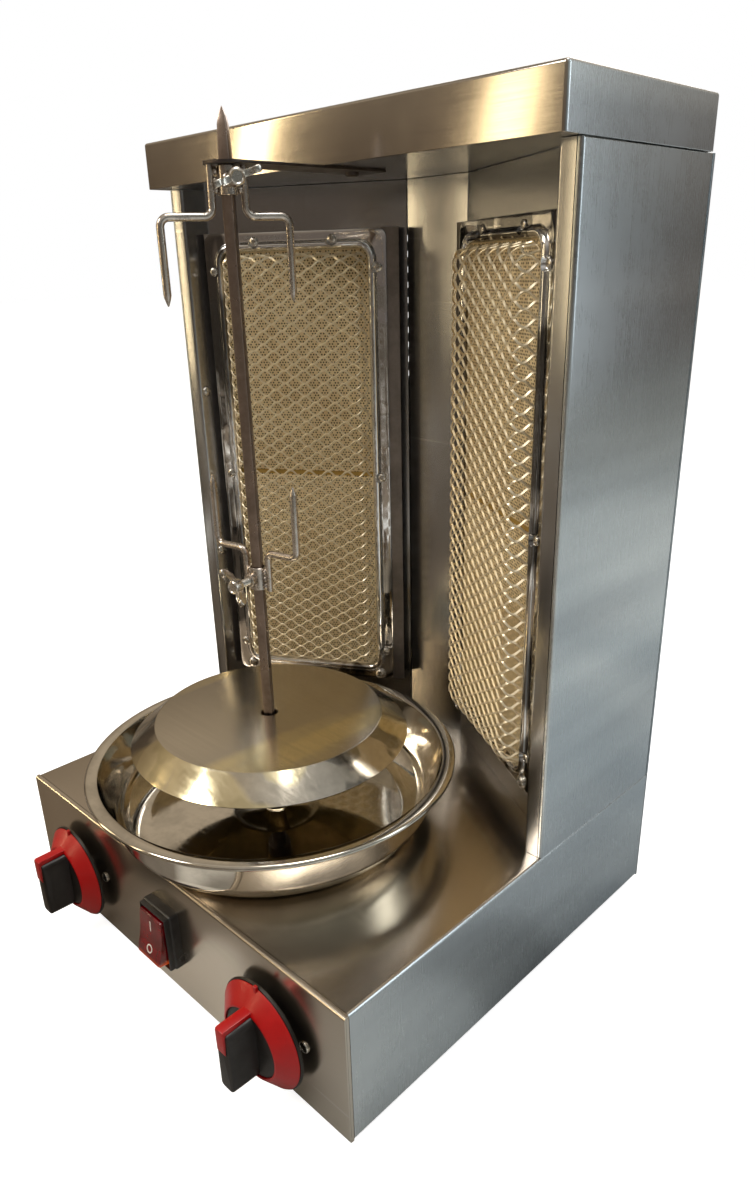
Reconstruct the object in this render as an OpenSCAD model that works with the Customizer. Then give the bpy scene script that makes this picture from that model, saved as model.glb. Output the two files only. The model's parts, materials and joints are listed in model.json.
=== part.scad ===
// Vertical rotisserie broiler: a counter-top gas roaster with two upright infrared burners,
// a turning spit with two forks, a drip pan, and a front panel with two gas knobs and a switch.
// Units are millimetres. +X is right, +Y is back, +Z is up, and the feet stand on z = 0.

/* [Cabinet] */
// Width of the cabinet
base_w = 280; // [280:1:288]
// Depth of the cabinet
base_d = 257; // [257:1:262]
// Height of the base without its feet
base_h = 75; // [75:1:80]
// Thickness of the stainless sheet
sheet_t = 1; // [0.8:0.1:1]
// Height of the rubber feet below the base
foot_h = 6; // [4:0.5:10]

/* [Tower] */
// Distance from the front panel to the front of the tower pillars
tower_y = 144; // [142:0.5:146]
// Height of the tower above the base
tower_h = 335.3; // [334:0.1:340]
// Distance from the front panel to the centre back panel
back_y = 222.6; // [222:0.1:224]
// Width of the centre back panel
centre_w = 44.8; // [44:0.1:46]
// Angle of each burner wing to the back of the cabinet
wing_angle = 30; // [29:0.5:30]
// Height of the top hood
hood_h = 23.7; // [20:0.1:30]
// Distance from the front panel to the front of the hood
hood_y = 130.3; // [128:0.1:134]

/* [Burners] */
// Width of one ceramic tile
tile_w = 92; // [90:0.5:92]
// Height of one ceramic tile
tile_h = 132; // [130:0.5:132]
// Thickness of one ceramic tile
tile_t = 13; // [11:0.5:13]
// Width of the pressed burner frame
frame_w = 112; // [110:0.5:112]
// Height of the pressed burner frame
frame_h = 284; // [280:1:284]
// Width of one opening in the guard
diamond_w = 25; // [20:1:30]
// Height of one opening in the guard
diamond_h = 15.2; // [12:0.2:20]
// Width of the guard's strands
strand_w = 1.3; // [1:0.1:2]

/* [Spit] */
// Distance from the front panel to the spit
spit_y = 80.5; // [78:0.5:82]
// Side of the square spit rod
rod_a = 5; // [5:0.1:5]
// Height of the spit's point above the base's bottom edge
tip_z = 431.5; // [425:0.5:440]
// Distance from the spit to each prong
prong_r = 27.5; // [24:0.5:32]
// How much further out the upper fork's front prong stands
upper_extra = 4; // [0:0.5:5]
// Diameter of the fork wire
wire_d = 3.6; // [3:0.1:4]
// Length of each prong below its arm
prong_l = 37; // [30:1:45]
// Height of the lower fork's collar above the base's bottom edge
lower_fork_z = 211.5; // [205:0.5:230]

/* [Plate and pan] */
// Radius of the flat top of the meat plate
plate_top_r = 62.3; // [58:0.1:66]
// Radius of the lower edge of the meat plate
plate_edge_r = 76.5; // [72:0.1:80]
// Height of the meat plate's top above the base's bottom edge
plate_z = 138.2; // [136:0.1:142]
// Radius of the drip pan's rolled rim
pan_r = 103.2; // [100:0.1:105]
// Height of the drip pan
pan_h = 37.5; // [34:0.1:40]

/* [Controls] */
// Distance from the middle of the panel to each knob
knob_x = 88; // [80:0.5:95]
// Height of the knobs above the base's bottom edge
knob_z = 33; // [32:0.5:36]
// Radius of the knob's black disc
knob_r = 28.5; // [25:0.5:30]
// How far the grip stands off the panel
grip_out = 28; // [26:0.5:32]
// Distance from the middle of the panel to the switch
switch_x = 1; // [0:0.5:4]
// Height of the switch above the base's bottom edge
switch_z = 38.8; // [37:0.1:42]

/* [Hidden] */
$fn = 64;

eps = 0.01;
gap = 0.3;
front_y = -124;
half_w = base_w / 2;
top_z = base_h + tower_h;
hood_w = base_w + 1.6;
hood_rear_y = base_d - 3;

// Tower plan
pillar_w = 11.4;
lip_w = 2.5;
wing_in = [centre_w / 2, back_y];
wing_out_x = half_w - pillar_w;
wing_out_y = back_y - (wing_out_x - wing_in[0]) * tan(wing_angle);

// Burner, measured along the wing (s) and off it (towards -Y in the wing's own frame)
burner_s = 66.2;
burner_z = 244;
tile_gap = 3;
open_w = 89.6;
open_h = 263;
mount_off = 8;
frame_off = 9;
guard_off = 19.2;
housing_depth = 22;
venturi_off = 14;
venturi_s = (knob_x - wing_in[0] - venturi_off * sin(wing_angle)) / cos(wing_angle);
venturi_y = wing_in[1] - venturi_s * sin(wing_angle) + venturi_off * cos(wing_angle);
venturi_z = 64;

// Spit
rod_clear = 0.065;
bore_r = rod_a * sqrt(2) / 2 + rod_clear;
collar_r = bore_r + 0.75;
collar_h = 12;
leg_r = 7.6;
arm_drop = 8.5;
upper_fork_z = top_z - 1.5 - collar_h;
upper_angle = 66;
lower_angle = 8;
rod_angle = -57;
shaft_r = 4.5;
pan_t = 0.8;
pan_foot_r = 71.5;
pan_fillet = 20;
pan_flare = 15;
socket_z = 108;
strip_t = 1.2;

// Controls
disc_back = 4.4;
disc_t = 1.8;
skirt_out = 13.5;
push_travel = 2.4;
stem_r = 3;
run_fit = 0.05;

// ---- placing helpers ----

// Moves a piece from the cabinet frame (front panel at y = 0, base at z = 0) to the model frame.
module cabinet() {
  translate([0, front_y, foot_h]) children();
}

// Puts a piece on the right wing, with x along it, -y off it and z up; side = -1 mirrors it.
module on_wing(side) {
  mirror([side < 0 ? 1 : 0, 0, 0])
    translate([wing_in[0], wing_in[1], 0])
      rotate([0, 0, -wing_angle]) children();
}

module on_spit() {
  translate([0, spit_y, 0]) children();
}

// Extrudes a drawing of (x, z) along Y, or of (y, z) along X.
module along_y(y0, y1) {
  translate([0, y1, 0]) rotate([90, 0, 0]) linear_extrude(y1 - y0) children();
}

module along_x(x0, x1) {
  translate([x0, 0, 0]) rotate([90, 0, 90]) linear_extrude(x1 - x0) children();
}

// A cylinder along Y from y0 to y1.
module rod_y(x, z, r, y0, y1) {
  translate([x, y0, z]) rotate([-90, 0, 0]) cylinder(r = r, h = y1 - y0);
}

// A folded sheet: straight strips joined by round folds, drawn on the sheet's middle line.
module folded(points, t = sheet_t) {
  for (i = [0 : len(points) - 2]) {
    d = points[i + 1] - points[i];
    translate(points[i]) rotate(atan2(d[1], d[0])) translate([0, -t / 2]) square([norm(d), t]);
    translate(points[i]) circle(d = t);
    translate(points[i + 1]) circle(d = t);
  }
}

module rounded_rect(w, h, r) {
  square([w - 2 * r, h], center = true);
  square([w, h - 2 * r], center = true);
  for (x = [-1, 1], y = [-1, 1])
    translate([x * (w / 2 - r), y * (h / 2 - r)]) circle(r = r);
}

module rect_ring(w, h, in_w, in_h, r) {
  difference() {
    rounded_rect(w, h, r);
    rounded_rect(in_w, in_h, r);
  }
}

// A pan-head screw pointing along -Z with a cross recess in its head.
module pan_screw(head_r, head_h, shank_r, shank_l) {
  difference() {
    union() {
      cylinder(r = head_r, h = head_h * 0.6);
      cylinder(r = head_r * 0.8, h = head_h);
      translate([0, 0, -shank_l]) cylinder(r = shank_r, h = shank_l + eps);
    }
    for (a = [0, 90])
      rotate(a) translate([-head_r * 0.5, -0.3, head_h * 0.4]) cube([head_r, 0.6, head_h]);
  }
}

// ---- cabinet ----

module base_wrap() {
  m = half_w - sheet_t / 2;
  color("silver") cabinet() difference() {
    along_y(2.9, base_d - 1 - gap)
      folded([[-128, sheet_t / 2], [-m, sheet_t / 2], [-m, base_h - sheet_t / 2],
              [m, base_h - sheet_t / 2], [m, sheet_t / 2], [128, sheet_t / 2]]);
    on_spit() translate([0, 0, base_h - 5]) cylinder(r = 7.3, h = 10);
    for (x = [-1, 1])
      translate([x * knob_x, venturi_y, base_h - 5]) cylinder(r = 9, h = 10);
  }
}

module front_panel() {
  t = sheet_t;
  color("silver") cabinet() difference() {
    union() {
      along_x(-half_w, half_w)
        folded([[2.1, base_h - t / 2], [t / 2, base_h - t / 2], [t / 2, t / 2], [2.1, t / 2]]);
      along_x(-126.5, 126.5) folded([[t / 2, t / 2], [12, t / 2]]);
      for (x = [-half_w, half_w - t])
        translate([x, t / 2, t]) cube([t, 2.1, base_h - 2 * t]);
    }
    for (x = [-1, 1]) {
      rod_y(x * knob_x, knob_z, 6, -1, 3);
      for (s = [-1, 1]) rod_y(x * knob_x + s * 24, knob_z + 5, 1.7, -1, 3);
    }
    translate([switch_x - 11, -1, switch_z - 14.9]) cube([22, 4, 29.8]);
  }
}

module base_rear_panel() {
  color("silver") cabinet() difference() {
    along_y(base_d - 1, base_d) translate([0, base_h / 2]) square([base_w, base_h], center = true);
    rod_y(-60, 14, 6.3, base_d - 3, base_d + 2);
    rod_y(70, 30, 6.3, base_d - 3, base_d + 2);
    for (i = [-3 : 3])
      translate([i * 12 + 4, base_d - 3, 42]) along_y(0, 5) rounded_rect(4, 32, 1.9);
  }
}

module bottom_cover() {
  color("gray") cabinet() difference() {
    translate([-138.5, 2, sheet_t]) cube([277, base_d - 4, sheet_t]);
    for (x = [-1, 1], y = [25, 232])
      translate([x * 118, y, 0]) cylinder(r = 2.2, h = 4);
    for (i = [-4 : 4])
      translate([i * 14, 190, -1]) linear_extrude(5) rounded_rect(4, 50, 1.9);
  }
}

module rubber_feet() {
  color("black") cabinet()
    for (x = [-1, 1], y = [25, 232])
      translate([x * 118, y, -foot_h]) difference() {
        cylinder(r1 = 8, r2 = 9, h = foot_h + sheet_t);
        translate([0, 0, -1]) cylinder(r = 4.6, h = 4.5);
        cylinder(r = 2.2, h = foot_h + 5);
      }
}

// Foot screws with their nuts on top of the bottom cover.
module foot_screws() {
  color("lightgray") cabinet()
    for (x = [-1, 1], y = [25, 232]) {
      translate([x * 118, y, 3.5 - foot_h]) mirror([0, 0, 1]) pan_screw(4, 2, 2, foot_h + 3);
      translate([x * 118, y, 2 * sheet_t]) difference() {
        cylinder(r = 4, h = 3, $fn = 6);
        translate([0, 0, -1]) cylinder(r = 2.03, h = 5);
      }
    }
}

// ---- tower ----

module tower_side(side) {
  m = half_w - sheet_t / 2;
  color("silver") cabinet() mirror([side < 0 ? 1 : 0, 0, 0])
    translate([0, 0, base_h + gap]) linear_extrude(tower_h - 2 * gap)
      folded([[half_w - lip_w + sheet_t / 2, tower_y + sheet_t / 2], [m, tower_y + sheet_t / 2],
              [m, base_d - 1 - gap - sheet_t / 2], [m - 10, base_d - 1 - gap - sheet_t / 2]]);
}

// The wing carries the burner; its outer end folds forward and then out to make the pillar.
module wing_panel(side) {
  t = sheet_t;
  a = wing_in + t / 2 * [sin(wing_angle), cos(wing_angle)];
  bx = wing_out_x + t / 2;
  by = a[1] - (bx - a[0]) * tan(wing_angle);
  color("silver") cabinet() difference() {
    mirror([side < 0 ? 1 : 0, 0, 0]) translate([0, 0, base_h + gap]) linear_extrude(tower_h - 2 * gap)
      folded([a, [bx, by], [bx, tower_y + t / 2],
              [half_w - lip_w - gap - t / 2, tower_y + t / 2]]);
    on_wing(side) {
      translate([16.3, -2, 107.9]) cube([100, 5, 272.2]);
      for (s = [-47, 47]) rod_y(burner_s + s, 106, 1.7, -3, 5);
    }
    for (z = [190, 295])
      translate([side * (wing_out_x - 2), tower_y + 5.3, z]) rotate([0, side * 90, 0])
        cylinder(r = 1.7, h = 5);
  }
}

module centre_back_panel() {
  m = centre_w / 2 - 1.1;
  color("silver") cabinet() translate([0, 0, base_h + gap]) linear_extrude(tower_h - 2 * gap)
    folded([[-m, back_y + 7], [-m, back_y + sheet_t / 2], [m, back_y + sheet_t / 2], [m, back_y + 7]]);
}

module tower_rear_panel() {
  color("silver") cabinet() difference() {
    union() {
      translate([-half_w, base_d - 1, base_h + gap]) cube([base_w, 1, tower_h - 2 * gap]);
      translate([-half_w + 15, base_d - 9, top_z - gap - 1]) cube([base_w - 30, 9, 1]);
    }
    for (x = [-60, 60], i = [0 : 9])
      translate([x, base_d, 300 + i * 9]) along_y(-3, 3) rounded_rect(60, 3.5, 1.7);
  }
}

module ceiling_plate() {
  color("silver") cabinet() translate([0, 0, top_z]) difference() {
    translate([-hood_w / 2 + 1.3, hood_y + 1.3, 0])
      cube([hood_w - 2.6, hood_rear_y - hood_y - 2.6, sheet_t]);
    translate([0, 158, -1]) cylinder(r = 2.1, h = 4);
  }
}

module top_hood() {
  color("silver") cabinet() difference() {
    translate([0, 0, top_z]) union() {
      translate([-hood_w / 2, hood_y, 0]) cube([hood_w, hood_rear_y - hood_y, hood_h]);
    }
    translate([-hood_w / 2 + 1, hood_y + 1, top_z - 1])
      cube([hood_w - 2, hood_rear_y - hood_y - 2, hood_h]);
  }
}

// ---- burners ----

module burner_mount(side) {
  y = -mount_off + sheet_t / 2;
  color("dimgray") cabinet() on_wing(side) difference() {
    union() {
      translate([0, 0, 103]) linear_extrude(283) {
        folded([[3.5, y], [122, y], [122, -0.9]]);
        folded([[7.5, y], [7.5, -0.9]]);
      }
      for (z = [103, 385]) translate([7.5, y, z]) cube([115, 6.6, 1]);
    }
    translate([18.5, -12, 108.5]) cube([95.5, 20, 271]);
    burner_screw_places() cylinder(r = 1.7, h = 8, center = true);
    big_screw_places() cylinder(r = 1.8, h = 8, center = true);
  }
}

// Runs its children at each small frame screw, with +z pointing off the wing.
module burner_screw_places() {
  for (s = [-24, 24]) translate([burner_s + s, -frame_off, 381]) rotate([90, 0, 0]) children();
  for (s = [-51, 51], z = [122.7, 242.5, 365])
    translate([burner_s + s, -frame_off, z]) rotate([90, 0, 0]) children();
}

module big_screw_places() {
  for (s = [-47, 47]) translate([burner_s + s, -frame_off, 106]) rotate([90, 0, 0]) children();
}

// Shallow box behind the tiles, with the mixing tube that brings gas and air up from the base.
module burner_housing(side) {
  color("gray") cabinet() on_wing(side) difference() {
    union() {
      translate([17, -6.7, 108.6]) cube([98.5, 6.7 + housing_depth, 270.8]);
      translate([venturi_s, venturi_off, venturi_z]) cylinder(r = 6, h = 109 - venturi_z);
    }
    translate([18, -8, 109.6]) cube([96.5, 8 + 7.6, 268.8]);
    translate([26, -8, 118]) cube([80.5, 8 + housing_depth - 1, 252]);
    translate([18, 8.6, 109.6]) cube([96.5, housing_depth - 9.6, 268.8]);
    translate([venturi_s, venturi_off, venturi_z - 1]) cylinder(r = 5, h = 112 - venturi_z);
  }
}

module tile_gasket(side) {
  color("white") cabinet() on_wing(side)
    translate([burner_s, 0, burner_z]) along_y(5.3, 7.5) rect_ring(95, 267.6, 80, 250, 1);
}

module tiles(side) {
  color("wheat") cabinet() on_wing(side)
    for (z = [burner_z + tile_gap / 2, burner_z - tile_gap / 2 - tile_h])
      translate([burner_s - tile_w / 2, 5.1 - tile_t, z]) cube([tile_w, tile_t, tile_h]);
}

// Half-round bead pressed around the frame's opening.
module frame_bead(w, h, r, tube) {
  for (x = [-1, 1]) translate([x * w / 2, 0, -(h / 2 - r)]) cylinder(r = tube, h = h - 2 * r);
  for (z = [-1, 1]) translate([-(w / 2 - r), 0, z * h / 2]) rotate([0, 90, 0])
    cylinder(r = tube, h = w - 2 * r);
  for (x = [-1, 1], z = [-1, 1])
    translate([x * (w / 2 - r), 0, z * (h / 2 - r)]) mirror([x < 0 ? 1 : 0, 0, 0])
      mirror([0, 0, z < 0 ? 1 : 0]) rotate([90, 0, 0])
        rotate_extrude(angle = 90) translate([r, 0]) circle(r = tube);
}

module burner_frame(side) {
  bead = 2.6;
  color("gainsboro") cabinet() on_wing(side) difference() {
    translate([burner_s, 0, burner_z]) union() {
      along_y(-frame_off, -mount_off) rect_ring(frame_w, frame_h, open_w, open_h, 5);
      translate([0, -frame_off + 0.3, 0]) intersection() {
        frame_bead(open_w + 2 * bead, open_h + 2 * bead, 6, bead);
        translate([-60, -10, -150]) cube([120, 10.5, 300]);
      }
    }
    burner_screw_places() {
      cylinder(r = 1.5, h = 8, center = true);
      cylinder(r = 2.9, h = 4);
    }
    big_screw_places() {
      cylinder(r = 1.8, h = 8, center = true);
      cylinder(r = 3.9, h = 4);
    }
  }
}

// Section of the guard's sloping side, from its front sheet (a) to the frame's opening (b).
function guard_edge(a, b) = [[a - 1.5, -guard_off + 0.5], [a - 0.3, -guard_off + 0.5],
  [a + 1.6, -13.2], [b - 0.3, -9], [b - 1.4, -8.5], [a + 0.3, -12.8]];

// Expanded-metal guard: a sheet of diamonds with sloping sides that drop into the frame.
module burner_guard(side) {
  w = 80;
  h = 252;
  k = 1 - strand_w / (diamond_w * diamond_h / norm([diamond_w, diamond_h]));
  color("tan") cabinet() on_wing(side) translate([burner_s, 0, burner_z]) {
    along_y(-guard_off, -guard_off + 1.2) difference() {
      rounded_rect(w, h, 3);
      intersection() {
        square([w - 4, h - 4], center = true);
        for (i = [-2 : 2], j = [-8 : 8], o = [0, 0.5])
          if (abs(i + o) < 1.6 && abs(j + o) < 8.2)
            translate([(i + o) * diamond_w, (j + o) * diamond_h]) scale(k)
              polygon([[-diamond_w / 2, 0], [0, -diamond_h / 2], [diamond_w / 2, 0], [0, diamond_h / 2]]);
      }
    }
    difference() {
      for (m = [0, 1]) {
        mirror([m, 0, 0]) translate([0, 0, -h / 2 + 4.2]) linear_extrude(h - 8.4)
          polygon(guard_edge(w / 2, open_w / 2));
        mirror([0, 0, m]) along_x(-w / 2 + 4.2, w / 2 - 4.2)
          polygon([for (p = guard_edge(h / 2, open_h / 2)) [p[1], p[0]]]);
      }
      for (j = [-7 : 7]) translate([-50, -17, j * diamond_h - 5]) cube([100, 6, 10]);
      for (i = [-1 : 1]) translate([i * diamond_w - 9, -17, -140]) cube([18, 6, 280]);
    }
  }
}

module burner_screws() {
  color("lightgray") cabinet() for (side = [-1, 1]) on_wing(side) {
    burner_screw_places() pan_screw(2.6, 1.2, 1.2, 4);
    big_screw_places() pan_screw(3.6, 2.2, 1.5, 12);
  }
}

// Pan-head screws in the pillars and in the gas valves' brackets.
module panel_screws() {
  color("lightgray") cabinet() for (side = [-1, 1]) {
    for (z = [190, 295])
      translate([side * wing_out_x, tower_y + 5.3, z]) rotate([0, -side * 90, 0])
        pan_screw(3.2, 2.2, 1.5, 4);
    for (s = [-1, 1])
      translate([side * knob_x + s * 24, 0, knob_z + 5]) rotate([90, 0, 0])
        pan_screw(3, 1.6, 1.3, 5);
  }
}

// ---- gas parts ----

module gas_valve(side) {
  color("goldenrod") cabinet() translate([side * knob_x, 0, 0]) difference() {
    union() {
      rod_y(0, knob_z, 5.5, 1.3, 8);
      translate([-29, sheet_t + 0.01, knob_z - 1.5]) cube([58, 2, 12]);
      rod_y(0, knob_z, 10, 6, 34);
      rod_y(0, knob_z, 5, 33, 48);
      translate([0, 26, 20]) cylinder(r = 5, h = knob_z - 22);
    }
    rod_y(0, knob_z, stem_r + run_fit, -1, 22);
    rod_y(0, knob_z, 2.5, 30, 50);
    translate([0, 26, 10]) cylinder(r = 2.5, h = knob_z - 18);
    for (s = [-1, 1]) rod_y(s * 24, knob_z + 5, 1.33, -1, 5);
  }
}

module gas_manifold() {
  color("darkgoldenrod") cabinet() difference() {
    union() {
      translate([-104, 26, 12]) rotate([0, 90, 0]) cylinder(r = 6, h = 208);
      for (x = [-1, 1]) translate([x * knob_x, 26, 12]) cylinder(r = 5, h = 8);
      rod_y(-60, 14, 5, 26, base_d + 2);
      translate([-60, base_d - 1, 14]) rotate([90, 0, 0]) cylinder(r = 9, h = 5, $fn = 6);
      translate([-60, base_d + 6, 14]) rotate([90, 0, 0]) cylinder(r = 9, h = 5.9, $fn = 6);
      rod_y(-60, 14, 4, base_d, base_d + 20);
    }
    rod_y(-60, 14, 2.5, 26, base_d + 25);
    translate([-100, 26, 12]) rotate([0, 90, 0]) cylinder(r = 4, h = 200);
    for (x = [-1, 1]) translate([x * knob_x, 26, 12]) cylinder(r = 2.5, h = 9);
  }
}

// Pipe from the valve's outlet back under the deck and up to the injector below the mixing tube.
module feed_pipe(side) {
  r = 12;
  color("peru") cabinet() translate([side * knob_x, 0, 0]) {
    rod_y(0, knob_z, 3, 48.3, venturi_y - r);
    translate([0, venturi_y - r, knob_z + r]) rotate([0, 90, 0])
      rotate_extrude(angle = 90) translate([r, 0]) circle(r = 3);
    translate([0, venturi_y, knob_z + r]) cylinder(r = 3, h = venturi_z - 7 - knob_z - r);
    translate([0, venturi_y, venturi_z - 9]) cylinder(r = 4.5, h = 7, $fn = 6);
  }
}

// ---- controls ----

module knob_places(side) {
  cabinet() translate([side * knob_x, 0, knob_z]) rotate([90, 0, 0]) children();
}

// Ring of the valve's return spring: it goes in with the knob but does not turn.
module push_ring(side) {
  color("lightgray") knob_places(side) translate([0, 0, 2.7]) difference() {
    cylinder(r = 5, h = 1.2);
    translate([0, 0, -1]) cylinder(r = stem_r + run_fit, h = 4);
  }
}

// Valve spindle, black disc, hub and grip; z points out of the panel.
module knob(side) {
  color([0.05, 0.05, 0.05]) knob_places(side) {
    translate([0, 0, -16]) cylinder(r = stem_r, h = 21);
    translate([0, 0, disc_back]) cylinder(r = knob_r, h = disc_t);
    translate([0, 0, disc_back + disc_t - eps])
      cylinder(r = 18, h = skirt_out - disc_back - disc_t - 0.5);
    translate([0, 0, 12]) linear_extrude(grip_out - 12) rounded_rect(10, 35, 2);
  }
}

module knob_skirt(side) {
  z0 = disc_back + disc_t;
  color("red") knob_places(side) translate([0, 0, z0]) difference() {
    cylinder(r1 = knob_r - 0.8, r2 = 19.2, h = skirt_out - z0);
    translate([0, 0, -1]) cylinder(r = 18.05, h = 20);
    translate([-1.05, knob_r - 1.65, -1]) cube([2.1, 3, 2.7]);
  }
}

module knob_pointer(side) {
  color("red") knob_places(side) {
    translate([-2.8, 17.55, skirt_out + 0.05]) cube([5.6, 2.6, grip_out - skirt_out + 0.95]);
    translate([-2.8, 6, grip_out + 0.05]) cube([5.6, 12.5, 0.95]);
    translate([-1, knob_r - 1.6, disc_back + disc_t + 0.05]) cube([2, 3, 1.6]);
  }
}

module switch_bezel() {
  color([0.08, 0.08, 0.08]) cabinet() translate([switch_x, 0, switch_z]) difference() {
    union() {
      along_y(-5, 0) rounded_rect(25.5, 35, 1.5);
      along_y(-8, -4.9) rounded_rect(24, 33, 2);
    }
    along_y(-9, 1) rounded_rect(21.6, 29.5, 1.5);
    translate([-11.8, -3, 0]) rotate([0, 90, 0]) cylinder(r = 1.2 + run_fit, h = 23.6);
  }
}

module switch_body() {
  color([0.08, 0.08, 0.08]) cabinet() translate([switch_x, 0, switch_z]) {
    difference() {
      translate([-10.8, 0.1, -14.6]) cube([21.6, 26, 29.2]);
      translate([-9.8, -1, -13.6]) cube([19.6, 9.5, 27.2]);
    }
    for (z = [-9, 0, 9]) translate([-3, 26, z - 0.4]) cube([6, 9, 0.8]);
  }
}

// The rocker is drawn with its upper end pressed in; it turns on its two side pins.
module switch_rocker() {
  color("darkred") cabinet() translate([switch_x, -3, switch_z]) {
    rotate([-10, 0, 0]) {
      along_y(-8.6, 0.4) rounded_rect(20.8, 27, 2);
      translate([-8, 0, -5]) cube([16, 5, 10]);
    }
    translate([-11.5, 0, 0]) rotate([0, 90, 0]) cylinder(r = 1.2, h = 23);
  }
}

module cable_gland() {
  color("black") cabinet() difference() {
    union() {
      rod_y(70, 30, 6, base_d - 12, base_d + 6);
      translate([70, base_d + 5, 30]) rotate([90, 0, 0]) cylinder(r = 9, h = 4.9, $fn = 6);
      translate([70, base_d - 1.1, 30]) rotate([90, 0, 0]) cylinder(r = 9, h = 4, $fn = 6);
      rod_y(70, 30, 8, base_d + 4.9, base_d + 12);
      translate([70, base_d + 12, 30]) rotate([-90, 0, 0]) cylinder(r1 = 8, r2 = 5, h = 4);
    }
    rod_y(70, 30, 3.3, base_d - 20, base_d + 20);
  }
}

// ---- drive ----

module drive_motor() {
  color("gray") cabinet() on_spit() difference() {
    union() {
      translate([0, 12, 28]) cylinder(r = 25, h = 20);
      translate([0, 0, 28]) cylinder(r = 6, h = 21.8);
      translate([0, 12, 47.9]) cylinder(r = 20, h = 2.2);
      translate([-32, 8, 48.9]) cube([64, 8, 1.2]);
    }
    translate([0, 0, 40]) cylinder(r = 3.5 + run_fit, h = 20);
  }
}

module motor_bracket() {
  color("silver") cabinet() on_spit() difference() {
    translate([0, -20, 0]) rotate([90, 0, 0]) mirror([0, 0, 1]) linear_extrude(46)
      folded([[-48, 73.4], [-36, 73.4], [-36, 50.9], [36, 50.9], [36, 73.4], [48, 73.4]]);
    cylinder(r = 9.5, h = 90);
  }
}

module bearing_bush() {
  color("goldenrod") cabinet() on_spit() difference() {
    union() {
      translate([0, 0, base_h - 11]) cylinder(r = 7, h = 10.9);
      translate([0, 0, base_h - 5]) cylinder(r = 12, h = 3.9);
    }
    cylinder(r = shaft_r + run_fit, h = 90);
  }
}

// Turned shaft with a square socket for the spit and a shoulder that carries the plate.
module drive_shaft() {
  color([0.1, 0.1, 0.1]) cabinet() on_spit() difference() {
    union() {
      translate([0, 0, 42]) cylinder(r = 3.5, h = 12);
      translate([0, 0, 52]) cylinder(r = 8, h = 11);
      translate([0, 0, 52]) cylinder(r = shaft_r, h = 82);
      translate([0, 0, 106]) cylinder(r = 7, h = 5.7);
    }
    rotate(rod_angle) translate([-rod_a / 2 - 0.05, -rod_a / 2 - 0.05, socket_z])
      cube([rod_a + 0.1, rod_a + 0.1, 40]);
  }
}

module drip_pan() {
  fillet = pan_fillet;
  t = pan_t;
  color("gainsboro") cabinet() on_spit() translate([0, 0, base_h + gap]) {
    rotate_extrude($fn = 128) {
      translate([5.3, 0]) square([pan_foot_r - 5.3, t]);
      translate([5.3, 0]) square([0.9, 17]);
      intersection() {
        translate([pan_foot_r, fillet]) difference() {
          circle(r = fillet);
          circle(r = fillet - t);
        }
        polygon([[pan_foot_r, fillet], [pan_foot_r, -1], [pan_foot_r + 2 * fillet, -1],
                 [pan_foot_r + 2 * fillet, fillet - 2 * fillet * tan(pan_flare)]]);
      }
    }
  }
}

// Sloping wall and rolled rim of the drip pan, above its rounded foot.
module pan_wall() {
  t = pan_t;
  wall_r = pan_foot_r + pan_fillet * cos(pan_flare);
  wall_z = pan_fillet * (1 - sin(pan_flare));
  rim_in = wall_r + (pan_h - 1 - wall_z) * tan(pan_flare);
  color("gainsboro") cabinet() on_spit() translate([0, 0, base_h + gap]) {
    rotate_extrude($fn = 128) {
      polygon([[wall_r - t * cos(pan_flare), wall_z + t * sin(pan_flare)], [wall_r, wall_z],
               [rim_in, pan_h - 1], [rim_in, pan_h], [rim_in - t, pan_h]]);
      translate([rim_in - t, pan_h - t]) square([pan_r - 1.6 - rim_in + t, t]);
      translate([pan_r - 1.6, pan_h - 1.6]) circle(r = 1.6);
    }
  }
}

module meat_plate() {
  t = 1.2;
  edge_z = plate_z - 11.8;
  color("silver") cabinet() on_spit() {
    rotate_extrude($fn = 128) {
      translate([4.7, plate_z - t]) square([plate_top_r - 4.7, t]);
      polygon([[plate_top_r, plate_z], [plate_edge_r, edge_z], [plate_edge_r - t, edge_z],
               [plate_top_r - 0.6, plate_z - t]]);
    }
    translate([0, 0, 111.8]) difference() {
      cylinder(r = 7.5, h = plate_z - t - 111.8 + eps);
      translate([0, 0, -1]) cylinder(r = shaft_r + run_fit, h = 40);
    }
  }
}

module spit_rod() {
  point_l = 14;
  color("rosybrown") cabinet() on_spit() rotate(rod_angle) intersection() {
    translate([-rod_a / 2, -rod_a / 2, socket_z + 0.3]) cube([rod_a, rod_a, tip_z - socket_z - 0.3]);
    union() {
      cylinder(r = rod_a, h = tip_z - point_l);
      translate([0, 0, tip_z - point_l - eps]) cylinder(r1 = rod_a * 0.71, r2 = 0.3, h = point_l);
    }
  }
}

// ---- forks ----

// Puts a fork piece on the spit; the lower fork is the same part turned over.
module upper_fork_place() {
  cabinet() on_spit() translate([0, 0, upper_fork_z]) rotate(upper_angle) children();
}

module lower_fork_place() {
  cabinet() on_spit() translate([0, 0, lower_fork_z + collar_h]) rotate(lower_angle)
    mirror([0, 0, 1]) children();
}

// z = 0 is the collar's end on the prong side, and the prongs point to -z.
module fork_collar() {
  color("darkgray") difference() {
    union() {
      cylinder(r = collar_r, h = collar_h);
      translate([0, 0, collar_h / 2]) rotate([90, 0, 0]) cylinder(r = 3.4, h = 7.6);
    }
    translate([0, 0, -1]) cylinder(r = bore_r, h = collar_h + 2);
    translate([0, 0, collar_h / 2]) rotate([90, 0, 0]) cylinder(r = 2 + run_fit, h = 20);
  }
}

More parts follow.
